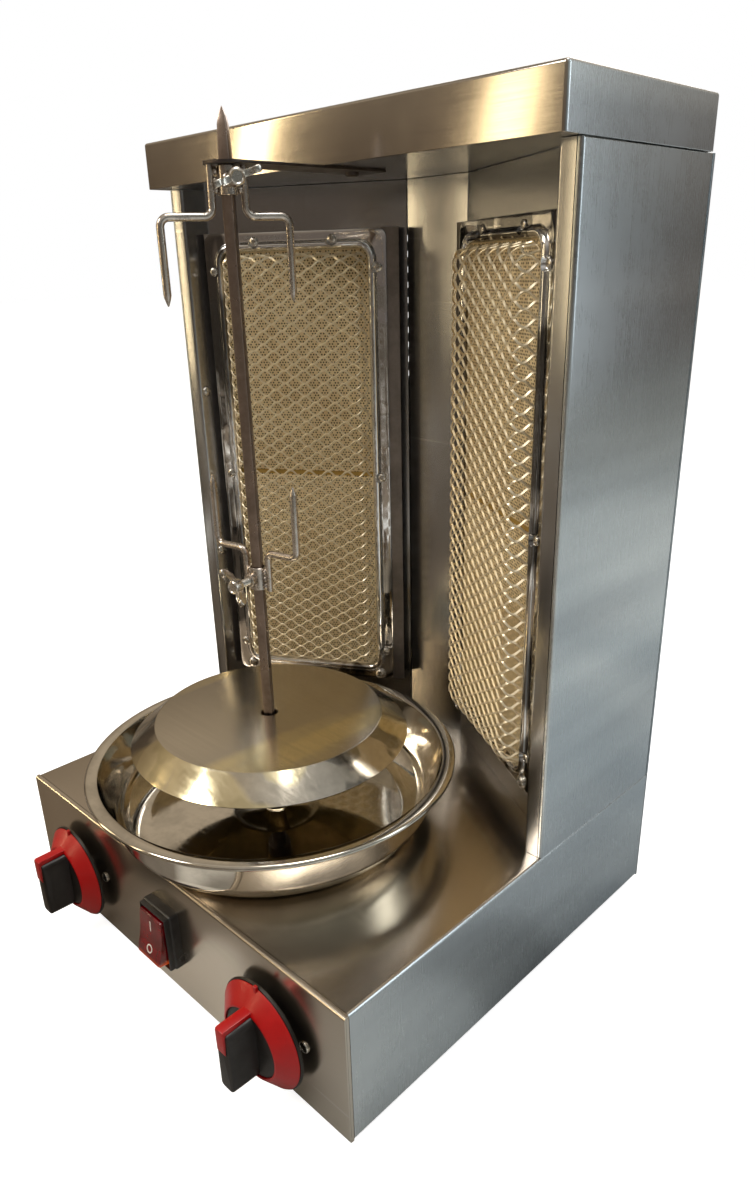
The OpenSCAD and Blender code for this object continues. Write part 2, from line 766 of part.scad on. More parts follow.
// One bent wire on each side of the collar: leg, arm and pointed prong, with its weld.
// The second wire reaches further out by extra.
module fork_prongs(extra) {
  bend = 4;
  w = wire_d / 2;
  color("darkgray") for (side = [0, 1]) rotate(side * 180) {
    reach = prong_r + side * extra;
    translate([leg_r, 0, -arm_drop + bend]) cylinder(r = w, h = collar_h + arm_drop - bend);
    translate([leg_r + bend, 0, -arm_drop + bend]) rotate([-90, 0, 0]) rotate([0, 0, 90])
      rotate_extrude(angle = 90) translate([bend, 0]) circle(r = w);
    translate([leg_r + bend, 0, -arm_drop]) rotate([0, 90, 0])
      cylinder(r = w, h = reach - leg_r - 2 * bend);
    translate([reach - bend, 0, -arm_drop - bend]) rotate([90, 0, 0])
      rotate_extrude(angle = 90) translate([bend, 0]) circle(r = w);
    translate([reach, 0, -arm_drop - prong_l + 5]) cylinder(r = w, h = prong_l - 5 - bend);
    translate([reach, 0, -arm_drop - prong_l]) cylinder(r1 = 0.4, r2 = w, h = 5 + eps);
    for (z = [2.5, collar_h - 2.5])
      translate([collar_r, 0, z]) rotate([0, 90, 0]) cylinder(r = 1.4, h = leg_r - collar_r);
  }
}

// Screw with two ears; it points to -y, and its inner end stops just outside the bore.
module wing_screw(tilt) {
  color("lightgray") translate([0, 0, collar_h / 2]) rotate([90, 0, 0]) rotate(tilt) {
    translate([0, 0, bore_r - 0.07]) cylinder(r = 2, h = 17.5 - bore_r);
    translate([0, 0, 14.5]) cylinder(r1 = 3.6, r2 = 3, h = 5);
    for (a = [0, 180]) rotate(a)
      translate([0, 1, 0]) rotate([90, 0, 0]) linear_extrude(2)
        polygon([[2.5, 15], [5, 14.5], [9.5, 16.5], [11, 19], [10.4, 21], [8, 21], [2.5, 19]]);
  }
}

module top_bracket() {
  z = top_z - strip_t;
  color("dimgray") cabinet() difference() {
    union() {
      on_spit() translate([0, 0, z]) cylinder(r = 10, h = strip_t);
      translate([-10, spit_y, z]) cube([20, 172 - spit_y, strip_t]);
      on_spit() translate([0, 0, z]) cylinder(r = 6, h = strip_t + 1.5);
    }
    on_spit() translate([0, 0, z - 1]) cylinder(r = bore_r, h = 8);
    translate([0, 158, z - 1]) cylinder(r = 2.1, h = 4);
  }
  color("lightgray") cabinet() translate([0, 158, z - 0.01]) mirror([0, 0, 1])
    pan_screw(3.6, 2, 1.9, 4);
}

base_wrap();
front_panel();
base_rear_panel();
bottom_cover();
rubber_feet();
foot_screws();
tower_side(-1);  // tower_side_left
tower_side(1);  // tower_side_right
wing_panel(-1);  // wing_panel_left
wing_panel(1);  // wing_panel_right
centre_back_panel();
tower_rear_panel();
ceiling_plate();
top_hood();
burner_mount(-1);  // burner_mount_left
burner_mount(1);  // burner_mount_right
burner_housing(-1);  // burner_housing_left
burner_housing(1);  // burner_housing_right
tile_gasket(-1);  // tile_gasket_left
tile_gasket(1);  // tile_gasket_right
tiles(-1);  // tiles_left
tiles(1);  // tiles_right
burner_frame(-1);  // burner_frame_left
burner_frame(1);  // burner_frame_right
burner_guard(-1);  // burner_guard_left
burner_guard(1);  // burner_guard_right
burner_screws();
panel_screws();
gas_valve(-1);  // gas_valve_left
gas_valve(1);  // gas_valve_right
gas_manifold();
feed_pipe(-1);  // feed_pipe_left
feed_pipe(1);  // feed_pipe_right
push_ring(-1);  // push_ring_left
push_ring(1);  // push_ring_right
knob(-1);  // knob_left
knob(1);  // knob_right
knob_skirt(-1);  // knob_skirt_left
knob_skirt(1);  // knob_skirt_right
knob_pointer(-1);  // knob_pointer_left
knob_pointer(1);  // knob_pointer_right
switch_bezel();
switch_body();
switch_rocker();
cable_gland();
drive_motor();
motor_bracket();
bearing_bush();
drive_shaft();
drip_pan();
pan_wall();
meat_plate();
spit_rod();
upper_fork_place() fork_collar();  // upper_collar
upper_fork_place() fork_prongs(upper_extra);  // upper_prongs
upper_fork_place() wing_screw(18);  // upper_wing_screw
lower_fork_place() fork_collar();  // lower_collar
lower_fork_place() fork_prongs(0);  // lower_prongs
lower_fork_place() wing_screw(50);  // lower_wing_screw
top_bracket();
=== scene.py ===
import json
import math
import random

import bmesh
import bpy
from mathutils import Matrix, Vector


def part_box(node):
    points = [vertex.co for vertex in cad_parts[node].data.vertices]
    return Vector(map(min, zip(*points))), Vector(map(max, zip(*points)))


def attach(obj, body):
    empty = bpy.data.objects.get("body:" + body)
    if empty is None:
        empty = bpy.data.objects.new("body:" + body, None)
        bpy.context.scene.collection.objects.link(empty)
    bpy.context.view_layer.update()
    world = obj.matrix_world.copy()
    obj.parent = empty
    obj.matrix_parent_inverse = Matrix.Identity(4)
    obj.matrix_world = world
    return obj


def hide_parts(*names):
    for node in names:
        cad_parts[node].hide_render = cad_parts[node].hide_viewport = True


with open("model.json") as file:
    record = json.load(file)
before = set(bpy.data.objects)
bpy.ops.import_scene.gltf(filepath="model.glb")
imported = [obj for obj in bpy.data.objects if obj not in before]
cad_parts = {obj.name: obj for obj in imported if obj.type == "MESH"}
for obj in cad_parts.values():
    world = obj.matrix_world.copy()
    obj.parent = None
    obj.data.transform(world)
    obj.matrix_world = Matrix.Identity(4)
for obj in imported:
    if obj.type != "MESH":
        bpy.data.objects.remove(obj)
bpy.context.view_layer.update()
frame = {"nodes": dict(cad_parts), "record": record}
random.seed(7)

# Sizes are in mm. Places are measured from the front panel and the base's bottom edge.
MM = 0.001
PANEL_LO, PANEL_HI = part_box("front_panel")
FRONT_Y = PANEL_LO.y
BASE_Z = PANEL_LO.z
HALF_W = PANEL_HI.x / MM
WING_ANGLE = math.radians(30)
WING_S = Vector((math.cos(WING_ANGLE), -math.sin(WING_ANGLE)))
WING_Y = Vector((math.sin(WING_ANGLE), math.cos(WING_ANGLE)))
WING_IN = Vector((22.4, 222.6))
WING_OUT_X = 128.6
TOWER_Y = 144.0
BASE_TOP = 75.0
CEILING_Z = 410.3
SHEET_T = 1.0
GAP = 0.3
SPIT_Y = 80.5
COLLAR_H = 12.0
BURNER_S = 66.2
BURNER_Z = 244.0
OPEN_W, OPEN_H = 89.6, 263.0
TILE_W, TILE_H = 92.0, 132.0
SCREW_SEAT = -9.0
BIG_SCREW_S, BIG_SCREW_Z = 47.0, 106.0
PILLAR_SCREW_Z = (190.0, 295.0)
FOOT_X, FOOT_Y = 118.0, (25.0, 232.0)
KNOB_X = 88.0
KNOB_Z = 33.0
SWITCH_X = 1.0
SWITCH_Z = 38.8


# ---------------------------------------------------------------- places
def cab(x, y, z):
    """A point given in mm from the front panel and the base's bottom edge, in the row frame."""
    return Vector((x * MM, FRONT_Y + y * MM, BASE_Z + z * MM))


def wing(side):
    """Maps (s along the wing, y off it, z) to the row frame."""
    def place(s, y, z):
        p = WING_IN + WING_S * s + WING_Y * y
        return cab(side * p.x, p.y, z)
    return place


def spit(angle=0.0, z0=0.0, flip=1):
    """Maps a fork piece's own x, y, z to the row frame, turned about the spit."""
    c, s = math.cos(math.radians(angle)), math.sin(math.radians(angle))

    def place(x, y, z):
        return cab(c * x - s * y, SPIT_Y + s * x + c * y, z0 + flip * z)
    return place


def knob_at(side):
    """Maps (right, up, out of the panel) at a knob's axis to the row frame."""
    return lambda x, y, z: cab(side * KNOB_X + x, -z, KNOB_Z + y)


# ---------------------------------------------------------------- mesh tools
def new_object(name, bm):
    """A linked object made from bm, with its faces pointing outward."""
    bmesh.ops.recalc_face_normals(bm, faces=bm.faces)
    me = bpy.data.meshes.new(name)
    bm.to_mesh(me)
    bm.free()
    obj = bpy.data.objects.new(name, me)
    bpy.context.scene.collection.objects.link(obj)
    return obj


def make(name, bm, mat, body, replaced=(), angle=32):
    return dress(new_object(name, bm), mat, body, replaced, angle)


def dress(obj, mat, body, replaced=(), angle=32):
    """Gives obj its shading, material and body, and says which CAD nodes it replaces."""
    me = obj.data
    me.shade_smooth()
    me.set_sharp_from_angle(angle=math.radians(angle))
    me.materials.clear()
    me.materials.append(mat)
    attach(obj, body)
    if replaced:
        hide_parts(*replaced)
    return obj


def join_loops(bm, loops, close_ends=False):
    """Quads between rings of vertices; close_ends joins the last ring to the first."""
    n = len(loops[0])
    pairs = list(zip(loops, loops[1:])) + ([(loops[-1], loops[0])] if close_ends else [])
    for a, b in pairs:
        for i in range(n):
            j = (i + 1) % n
            bm.faces.new((a[i], a[j], b[j], b[i]))


def lathe(bm, profile, place, steps=64, closed=False):
    """Turns (r, z) points about z; a point with r = 0 ends in a fan."""
    rings = []
    for r, z in profile:
        if r <= 1e-6:
            rings.append([bm.verts.new(place(0, 0, z))])
        else:
            rings.append([bm.verts.new(place(r * math.cos(2 * math.pi * k / steps),
                                             r * math.sin(2 * math.pi * k / steps), z))
                          for k in range(steps)])
    pairs = list(zip(rings, rings[1:])) + ([(rings[-1], rings[0])] if closed else [])
    for a, b in pairs:
        for i in range(steps):
            j = (i + 1) % steps
            if len(a) == 1 and len(b) > 1:
                bm.faces.new((a[0], b[j], b[i]))
            elif len(b) == 1 and len(a) > 1:
                bm.faces.new((a[i], a[j], b[0]))
            elif len(a) > 1:
                bm.faces.new((a[i], a[j], b[j], b[i]))


def fillet(points, radius, steps=5):
    """Rounds the corners of an open line of points; radius is one number or one per corner."""
    pts = [Vector(p) for p in points]
    out = [pts[0]]
    for i in range(1, len(pts) - 1):
        r = radius[i - 1] if isinstance(radius, (list, tuple)) else radius
        a = (pts[i - 1] - pts[i]).normalized()
        b = (pts[i + 1] - pts[i]).normalized()
        half = a.angle(b) / 2
        if r <= 0 or half > math.pi / 2 - 1e-3:
            out.append(pts[i])
            continue
        cut = r / math.tan(half)
        centre = pts[i] + (a + b).normalized() * (r / math.sin(half))
        start, end = pts[i] + a * cut - centre, pts[i] + b * cut - centre
        turn = start.angle(end)
        for k in range(steps + 1):
            t = k / steps
            v = (start * math.sin((1 - t) * turn) + end * math.sin(t * turn)) / math.sin(turn)
            out.append(centre + v)
    out.append(pts[-1])
    return out


def strip(bm, path, t, lo, hi, place, fold=1.3):
    """A folded sheet: the path is its middle line in (a, b), and it runs from lo to hi."""
    pts = fillet([Vector((a, b, 0)) for a, b in path], fold)
    left, right = [], []
    for i, p in enumerate(pts):
        d = (pts[min(i + 1, len(pts) - 1)] - pts[max(i - 1, 0)]).normalized()
        n = Vector((-d.y, d.x, 0)) * t / 2
        left.append(p + n)
        right.append(p - n)
    ring = left + right[::-1]
    ends = [[bm.verts.new(place(p.x, p.y, c)) for p in ring] for c in (lo, hi)]
    join_loops(bm, ends)
    m, n = len(pts), len(ring)
    for e in ends:
        for i in range(m - 1):
            bm.faces.new((e[i], e[i + 1], e[n - 2 - i], e[n - 1 - i]))


def rect_ring(w, h, r, n=6):
    """Points of a rounded rectangle centred on 0."""
    out = []
    for cx, cy, a0 in ((1, 1, 0), (-1, 1, 90), (-1, -1, 180), (1, -1, 270)):
        for k in range(n + 1):
            a = math.radians(a0 + 90 * k / n)
            out.append((cx * (w / 2 - r) + r * math.cos(a), cy * (h / 2 - r) + r * math.sin(a)))
    return out


def shell(bm, w, h, r, profile, place, cap=True, close=False, n=6):
    """Rounded rectangles grown by an offset at each height, joined up.

    An offset is one number, or (across, up, corner radius) where the corners don't grow with it.
    """
    loops = []
    for off, z in profile:
        ox, oy, rr = off if isinstance(off, tuple) else (off, off, max(r + off, 0.05))
        loops.append([bm.verts.new(place(x, y, z))
                      for x, y in rect_ring(w + 2 * ox, h + 2 * oy, rr, n)])
    join_loops(bm, loops, close)
    if cap:
        bm.faces.new(loops[0])
        bm.faces.new(loops[-1])


def tube(bm, points, radii, steps=14):
    """A round wire along points; each point may have its own radius."""
    pts = [Vector(p) for p in points]
    if not isinstance(radii, (list, tuple)):
        radii = [radii] * len(pts)
    d = (pts[1] - pts[0]).normalized()
    side = d.orthogonal().normalized()
    rings = []
    for i, p in enumerate(pts):
        t = (pts[min(i + 1, len(pts) - 1)] - pts[max(i - 1, 0)]).normalized()
        side = (side - t * side.dot(t)).normalized()
        up = t.cross(side)
        rings.append([bm.verts.new(p + (side * math.cos(2 * math.pi * k / steps)
                                        + up * math.sin(2 * math.pi * k / steps)) * radii[i])
                      for k in range(steps)])
    join_loops(bm, rings)
    bm.faces.new(rings[0])
    bm.faces.new(rings[-1])


def slab(bm, outline, lo, hi, place, bevel=0.0, segments=2):
    """An outline in (a, b) made solid from lo to hi, with its rims rounded."""
    a = [bm.verts.new(place(x, y, lo)) for x, y in outline]
    b = [bm.verts.new(place(x, y, hi)) for x, y in outline]
    faces = [bm.faces.new(a), bm.faces.new(b)]
    join_loops(bm, [a, b])
    if bevel:
        rims = list({e for f in faces for e in f.edges})
        bmesh.ops.bevel(bm, geom=rims, offset=bevel * MM, segments=segments,
                        profile=0.5, affect="EDGES", clamp_overlap=True)


def carve(obj, cutters, mat=None):
    """Cuts the cutters out of obj and removes them; mat dresses a piece of the cabinet again."""
    for c in cutters:
        m = obj.modifiers.new("cut", "BOOLEAN")
        m.operation, m.object, m.solver = "DIFFERENCE", c, "EXACT"
    dg = bpy.context.evaluated_depsgraph_get()
    me = bpy.data.meshes.new_from_object(obj.evaluated_get(dg))
    obj.modifiers.clear()
    obj.data = me
    for c in cutters:
        bpy.data.objects.remove(c)
    if mat:
        dress(obj, mat, "cabinet")


def cutter(bm):
    return new_object("cutter", bm)


def round_cutter(start, end, r, steps):
    bm = bmesh.new()
    tube(bm, [start, end], r * MM, steps)
    return cutter(bm)


def upright_cutter(x, y, r, z0, z1):
    return round_cutter(cab(x, y, z0), cab(x, y, z1), r, 64)


def box_cutter(place, lo, hi):
    bm = bmesh.new()
    v = [bm.verts.new(place(x, y, z)) for z in (lo[2], hi[2])
         for x, y in ((lo[0], lo[1]), (hi[0], lo[1]), (hi[0], hi[1]), (lo[0], hi[1]))]
    join_loops(bm, [v[:4], v[4:]])
    bm.faces.new(v[:4])
    bm.faces.new(v[4:])
    return cutter(bm)


# ---------------------------------------------------------------- materials
class Nodes:
    """A small helper for building node materials."""

    def __init__(self, name):
        self.mat = bpy.data.materials.new(name)
        self.mat.use_nodes = True
        self.tree = self.mat.node_tree
        self.bsdf = self.tree.nodes["Principled BSDF"]

    def add(self, kind, **settings):
        n = self.tree.nodes.new(kind)
        for k, v in settings.items():
            setattr(n, k, v)
        return n

    def link(self, a, b):
        self.tree.links.new(a, b)

    def set(self, **values):
        for k, v in values.items():
            self.bsdf.inputs[k.replace("_", " ")].default_value = v

    def coords(self, scale=(1, 1, 1), rotate=(0, 0, 0)):
        c = self.add("ShaderNodeTexCoord")
        m = self.add("ShaderNodeMapping")
        m.inputs["Scale"].default_value = scale
        m.inputs["Rotation"].default_value = [math.radians(a) for a in rotate]
        self.link(c.outputs["Object"], m.inputs["Vector"])
        return m.outputs["Vector"]

    def coords_axis(self, axis):
        """One of the object's own coordinates: X, Y or Z."""
        c = self.add("ShaderNodeTexCoord")
        xyz = self.add("ShaderNodeSeparateXYZ")
        self.link(c.outputs["Object"], xyz.inputs[0])
        return xyz.outputs[axis]

    def noise(self, vector, scale, detail=4.0, rough=0.55):
        n = self.add("ShaderNodeTexNoise")
        n.inputs["Scale"].default_value = scale
        n.inputs["Detail"].default_value = detail
        n.inputs["Roughness"].default_value = rough
        self.link(vector, n.inputs["Vector"])
        return n.outputs["Fac"]

    def span(self, value, lo, hi, out_lo, out_hi):
        m = self.add("ShaderNodeMapRange")
        m.inputs["From Min"].default_value = lo
        m.inputs["From Max"].default_value = hi
        m.inputs["To Min"].default_value = out_lo
        m.inputs["To Max"].default_value = out_hi
        self.link(value, m.inputs["Value"])
        return m.outputs["Result"]

    def math(self, op, a, b=None, c=None):
        m = self.add("ShaderNodeMath", operation=op)
        for i, v in enumerate((a, b, c)):
            if v is None:
                continue
            if isinstance(v, (int, float)):
                m.inputs[i].default_value = v
            else:
                self.link(v, m.inputs[i])
        return m.outputs[0]

    def mix(self, fac, a, b):
        m = self.add("ShaderNodeMix", data_type="RGBA")
        for socket, v in ((m.inputs[0], fac), (m.inputs[6], a), (m.inputs[7], b)):
            if isinstance(v, (int, float)):
                socket.default_value = v
            elif isinstance(v, tuple):
                socket.default_value = (*v, 1.0) if len(v) == 3 else v
            else:
                self.link(v, socket)
        return m.outputs[2]

    def finish(self, color, rough, normal):
        """Links what every material drives, and gives the material."""
        for socket, value in (("Base Color", color), ("Roughness", rough), ("Normal", normal)):
            self.link(value, self.bsdf.inputs[socket])
        return self.mat

    def bump(self, height, strength, distance, normal=None):
        b = self.add("ShaderNodeBump")
        b.inputs["Strength"].default_value = strength
        b.inputs["Distance"].default_value = distance
        self.link(height, b.inputs["Height"])
        if normal is not None:
            self.link(normal, b.inputs["Normal"])
        return b.outputs["Normal"]


def brushed(name, color, dark, grain, rough, aniso, spin=0.0, tangent="Z", bands=0.0, painted_lamp_streak=0.0):
    """Brushed sheet: fine lines along one axis, smudges, a few scratches.

    bands paints pale and dark bands across the sheet: a painted reflection of the room. streak
    paints golden streaks of lamp light into the colour: a painted reflection of a lamp.
    """
    m = Nodes(name)
    fine = m.noise(m.coords(grain), 1.0, 3.0, 0.6)
    coarse = m.noise(m.coords(tuple(g * 0.23 for g in grain)), 1.0, 4.0, 0.6)
    smudge = m.noise(m.coords(), 7.0, 2.0, 0.45)
    blot = m.noise(m.coords(), 70.0, 3.0, 0.7)
    scratch = m.noise(m.coords((9, 700, 260), (20, 35, 40)), 1.0, 1.0, 0.5)
    scratch = m.span(scratch, 0.76, 0.80, 0.0, 1.0)
    tone = m.math("ADD", m.math("MULTIPLY", coarse, 0.08), m.math("MULTIPLY", smudge, 0.92))
    base = m.mix(m.span(tone, 0.34, 0.66, 0.0, 1.0), dark, color)
    base = m.mix(m.math("MULTIPLY", scratch, 0.22), base, (0.86, 0.85, 0.83))
    if bands:
        # Painted reflection: pale and dark bands of the room painted into the colour.
        pale_reflection_band = m.noise(m.coords((1.2, 1.2, 19.0)), 1.0, 2.5, 0.55)
        base = m.mix(m.span(pale_reflection_band, 0.44, 0.62, 0.0, bands), base, (0.84, 0.88, 0.88))
        dark_reflection_band = m.noise(m.coords((0.9, 0.9, 9.0), (0, 0, 50)), 1.0, 1.5, 0.5)
        base = m.mix(m.span(dark_reflection_band, 0.50, 0.70, 0.0, bands), base, (0.34, 0.38, 0.40))
    if painted_lamp_streak:
        # Painted reflection: golden streaks of lamp light painted into the colour; the fine grain
        # lines are then darkened.
        lamp = m.noise(m.coords((34, 3.0, 3.0), (0, 0, -8)), 1.0, 1.0, 0.4)
        base = m.mix(m.span(lamp, 0.57, 0.66, 0.0, painted_lamp_streak), base, PAINTED_GOLD_HIGHLIGHT)
        base = m.mix(m.span(fine, 0.35, 0.75, 0.0, 0.35), base, (0.42, 0.38, 0.30))
    r = m.math("ADD", m.span(fine, 0.3, 0.7, rough - 0.015, rough + 0.025),
               m.span(m.math("MULTIPLY", smudge, blot), 0.15, 0.4, -0.01, 0.02))
    m.set(Metallic=1.0, Anisotropic=aniso, Anisotropic_Rotation=spin)
    t = m.add("ShaderNodeTangent", direction_type="RADIAL", axis=tangent)
    m.link(t.outputs[0], m.bsdf.inputs["Tangent"])
    sag = m.noise(m.coords(), 6.0, 1.0, 0.4)
    n = m.bump(fine, 0.03, 0.00003)
    n = m.bump(sag, 0.12, 0.006, n)
    return m.finish(base, r, n)


def polished(name, color, rough=0.07, wave_scale=45.0, wave=0.25, room=0.0,
             painted_highlight=(0.93, 0.95, 0.97)):
    """Mirror-polished pressed metal: slight waviness, fine wipe marks.

    room paints dark and pale patches into the colour: painted reflections, like the things a mirror
    finish picks up; the pale ones are painted highlights.
    """
    m = Nodes(name)
    wave_h = m.noise(m.coords(), wave_scale, 1.5, 0.4)
    wipe = m.noise(m.coords((90, 500, 240), (0, 20, 30)), 1.0, 4.0, 0.65)
    dirt = m.noise(m.coords(), 60.0, 5.0, 0.65)
    base = m.mix(m.span(dirt, 0.42, 0.68, 0.0, 0.8), color, tuple(c * 0.72 for c in color))
    if room:
        # Painted reflections: dark patches, then pale patches of painted highlight.
        shape = m.noise(m.coords((34, 34, 13)), 1.0, 2.0, 0.45)
        base = m.mix(m.span(shape, 0.47, 0.50, 0.0, room), base, tuple(c * 0.13 for c in color))
        pale_reflection_patch = m.noise(m.coords((26, 26, 9), (12, 0, 70)), 1.0, 1.5, 0.45)
        base = m.mix(m.span(pale_reflection_patch, 0.55, 0.58, 0.0, room), base, painted_highlight)
    r = m.math("ADD", m.span(wipe, 0.35, 0.7, rough, rough + 0.08),
               m.span(dirt, 0.5, 0.75, 0.0, 0.10))
    m.set(Metallic=1.0)
    n = m.bump(wave_h, wave, 0.0012)
    n = m.bump(wipe, 0.05, 0.00005, n)
    return m.finish(base, r, n)


def plain_metal(name, color, rough, scale=120.0, metallic=1.0, contrast=0.35, bump=0.2):
    """Cast, plated or drawn metal with mottled tone and small pits."""
    m = Nodes(name)
    a = m.noise(m.coords(), scale, 5.0, 0.65)
    b = m.noise(m.coords(), scale * 6, 3.0, 0.6)
    dark = tuple(c * (1 - contrast) for c in color)
    tone = m.mix(m.span(a, 0.35, 0.68, 0.0, 1.0), color, dark)
    r = m.math("ADD", m.span(a, 0.3, 0.7, rough - 0.05, rough + 0.1),
               m.span(b, 0.4, 0.7, 0.0, 0.06))
    m.set(Metallic=metallic)
    return m.finish(tone, r, m.bump(b, bump, 0.0001))


def plastic(name, color, rough, grain_scale=900.0, bump=0.25, coat=0.0, worn=0.02):
    """Moulded plastic: faint grain, finger marks, slightly paler worn patches."""
    m = Nodes(name)
    marks = m.noise(m.coords(), 55.0, 5.0, 0.65)
    grain = m.noise(m.coords(), grain_scale, 2.0, 0.5)
    pale = tuple(min(1.0, c * 1.25 + worn) for c in color)
    tone = m.mix(m.span(marks, 0.45, 0.75, 0.0, 1.0), color, pale)
    r = m.math("ADD", m.span(marks, 0.35, 0.7, rough - 0.06, rough + 0.1),
               m.span(grain, 0.3, 0.7, -0.03, 0.03))
    m.set(Coat_Weight=coat, Coat_Roughness=0.12)
    return m.finish(tone, r, m.bump(grain, bump, 0.00005))


def hex_distance(m, x, y, pitch):
    """Distance from (x, y) to the nearest point of a triangular lattice with rows along x."""
    out = []
    for off in (0.0, 0.5):
        squares = []
        for value, step in ((x, pitch), (y, pitch * math.sqrt(3))):
            wrapped = m.math("WRAP", m.math("ADD", value, off * step), step, 0.0)
            d = m.math("SUBTRACT", wrapped, step / 2)
            squares.append(m.math("MULTIPLY", d, d))
        out.append(m.math("SQRT", m.math("ADD", *squares)))
    return m.math("MINIMUM", *out)


def ceramic(name, side):
    """Perforated burner tile: clusters of seven small holes in pale, heat-stained ceramic."""
    m = Nodes(name)
    pitch, r = 1.75 * MM, 0.56 * MM
    c = m.add("ShaderNodeTexCoord")
    dot = m.add("ShaderNodeVectorMath", operation="DOT_PRODUCT")
    m.link(c.outputs["Object"], dot.inputs[0])
    dot.inputs[1].default_value = (side * WING_S.x, WING_S.y, 0)
    s, z = dot.outputs["Value"], m.coords_axis("Z")
    fine = hex_distance(m, s, z, pitch)
    big = hex_distance(m, s, z, 3 * pitch)
    turned = hex_distance(m, z, s, pitch * math.sqrt(3))
    blank = m.math("MULTIPLY", m.math("LESS_THAN", turned, r * 1.2),
                   m.math("GREATER_THAN", big, r * 1.6))
    edge = m.span(fine, r * 0.70, r * 1.0, 1.0, 0.0)
    hole_shade = m.math("MULTIPLY", edge, m.math("SUBTRACT", 1.0, blank))
    stain = m.noise(m.coords(), 38.0, 5.0, 0.6)
    speck = m.noise(m.coords(), 1500.0, 3.0, 0.7)
    body = m.mix(m.span(stain, 0.35, 0.68, 0.0, 1.0), (0.84, 0.69, 0.42), (0.66, 0.50, 0.27))
    body = m.mix(m.span(speck, 0.45, 0.75, 0.0, 0.4), body, (0.94, 0.83, 0.60))
    # The holes are painted near-black: painted shade in holes that exist only in the colour and
    # bump.
    body = m.mix(hole_shade, body, (0.030, 0.018, 0.008))
    n = m.bump(m.math("SUBTRACT", 1.0, hole_shade), 0.5, 0.0004)
    return m.finish(body, m.span(speck, 0.3, 0.7, 0.62, 0.85), m.bump(speck, 0.3, 0.0001, n))


def lens_red(name):
    """The rocker's clear red plastic, with the lamp glowing through its lower end."""
    m = Nodes(name)
    lamp_lo, lamp_hi = (BASE_Z + (SWITCH_Z - drop) * MM for drop in (14.5, 9))
    glow = m.span(m.coords_axis("Z"), lamp_lo, lamp_hi, 1.0, 0.0)
    swirl = m.noise(m.coords(), 160.0, 3.0, 0.6)
    red = m.mix(m.span(swirl, 0.4, 0.65, 0.0, 1.0), (0.10, 0.001, 0.004), (0.22, 0.003, 0.008))
    m.link(red, m.bsdf.inputs["Base Color"])
    m.link(m.span(swirl, 0.3, 0.7, 0.10, 0.2), m.bsdf.inputs["Roughness"])
    m.link(m.mix(glow, (0.01, 0.0, 0.0), (1.0, 0.14, 0.02)), m.bsdf.inputs["Emission Color"])
    m.set(Emission_Strength=0.7, Coat_Weight=0.6, Coat_Roughness=0.05, IOR=1.5)
    return m.mat


FINE, LONG = 2600.0, 14.0
GRAIN_X = (LONG, FINE, FINE)
GRAIN_Z = (FINE, FINE, LONG)
WARM, WARM_DARK = (0.62, 0.555, 0.47), (0.52, 0.45, 0.365)
# The cooler tint of the side sheets is a painted reflection of cool light.
COOL, COOL_DARK = (0.60, 0.635, 0.655), (0.53, 0.56, 0.575)
INNER, INNER_DARK = (0.50, 0.50, 0.505), (0.40, 0.40, 0.405)
HOOD, HOOD_DARK = (0.54, 0.50, 0.45), (0.43, 0.39, 0.34)
PLATE, PLATE_DARK = (0.68, 0.62, 0.52), (0.56, 0.50, 0.40)
PLATE_GRAIN = (LONG, 1300.0, 1300.0)
# Colour of painted golden highlights: lamp streaks on the plate top and patches on the skirt.
PAINTED_GOLD_HIGHLIGHT = (1.0, 0.86, 0.50)

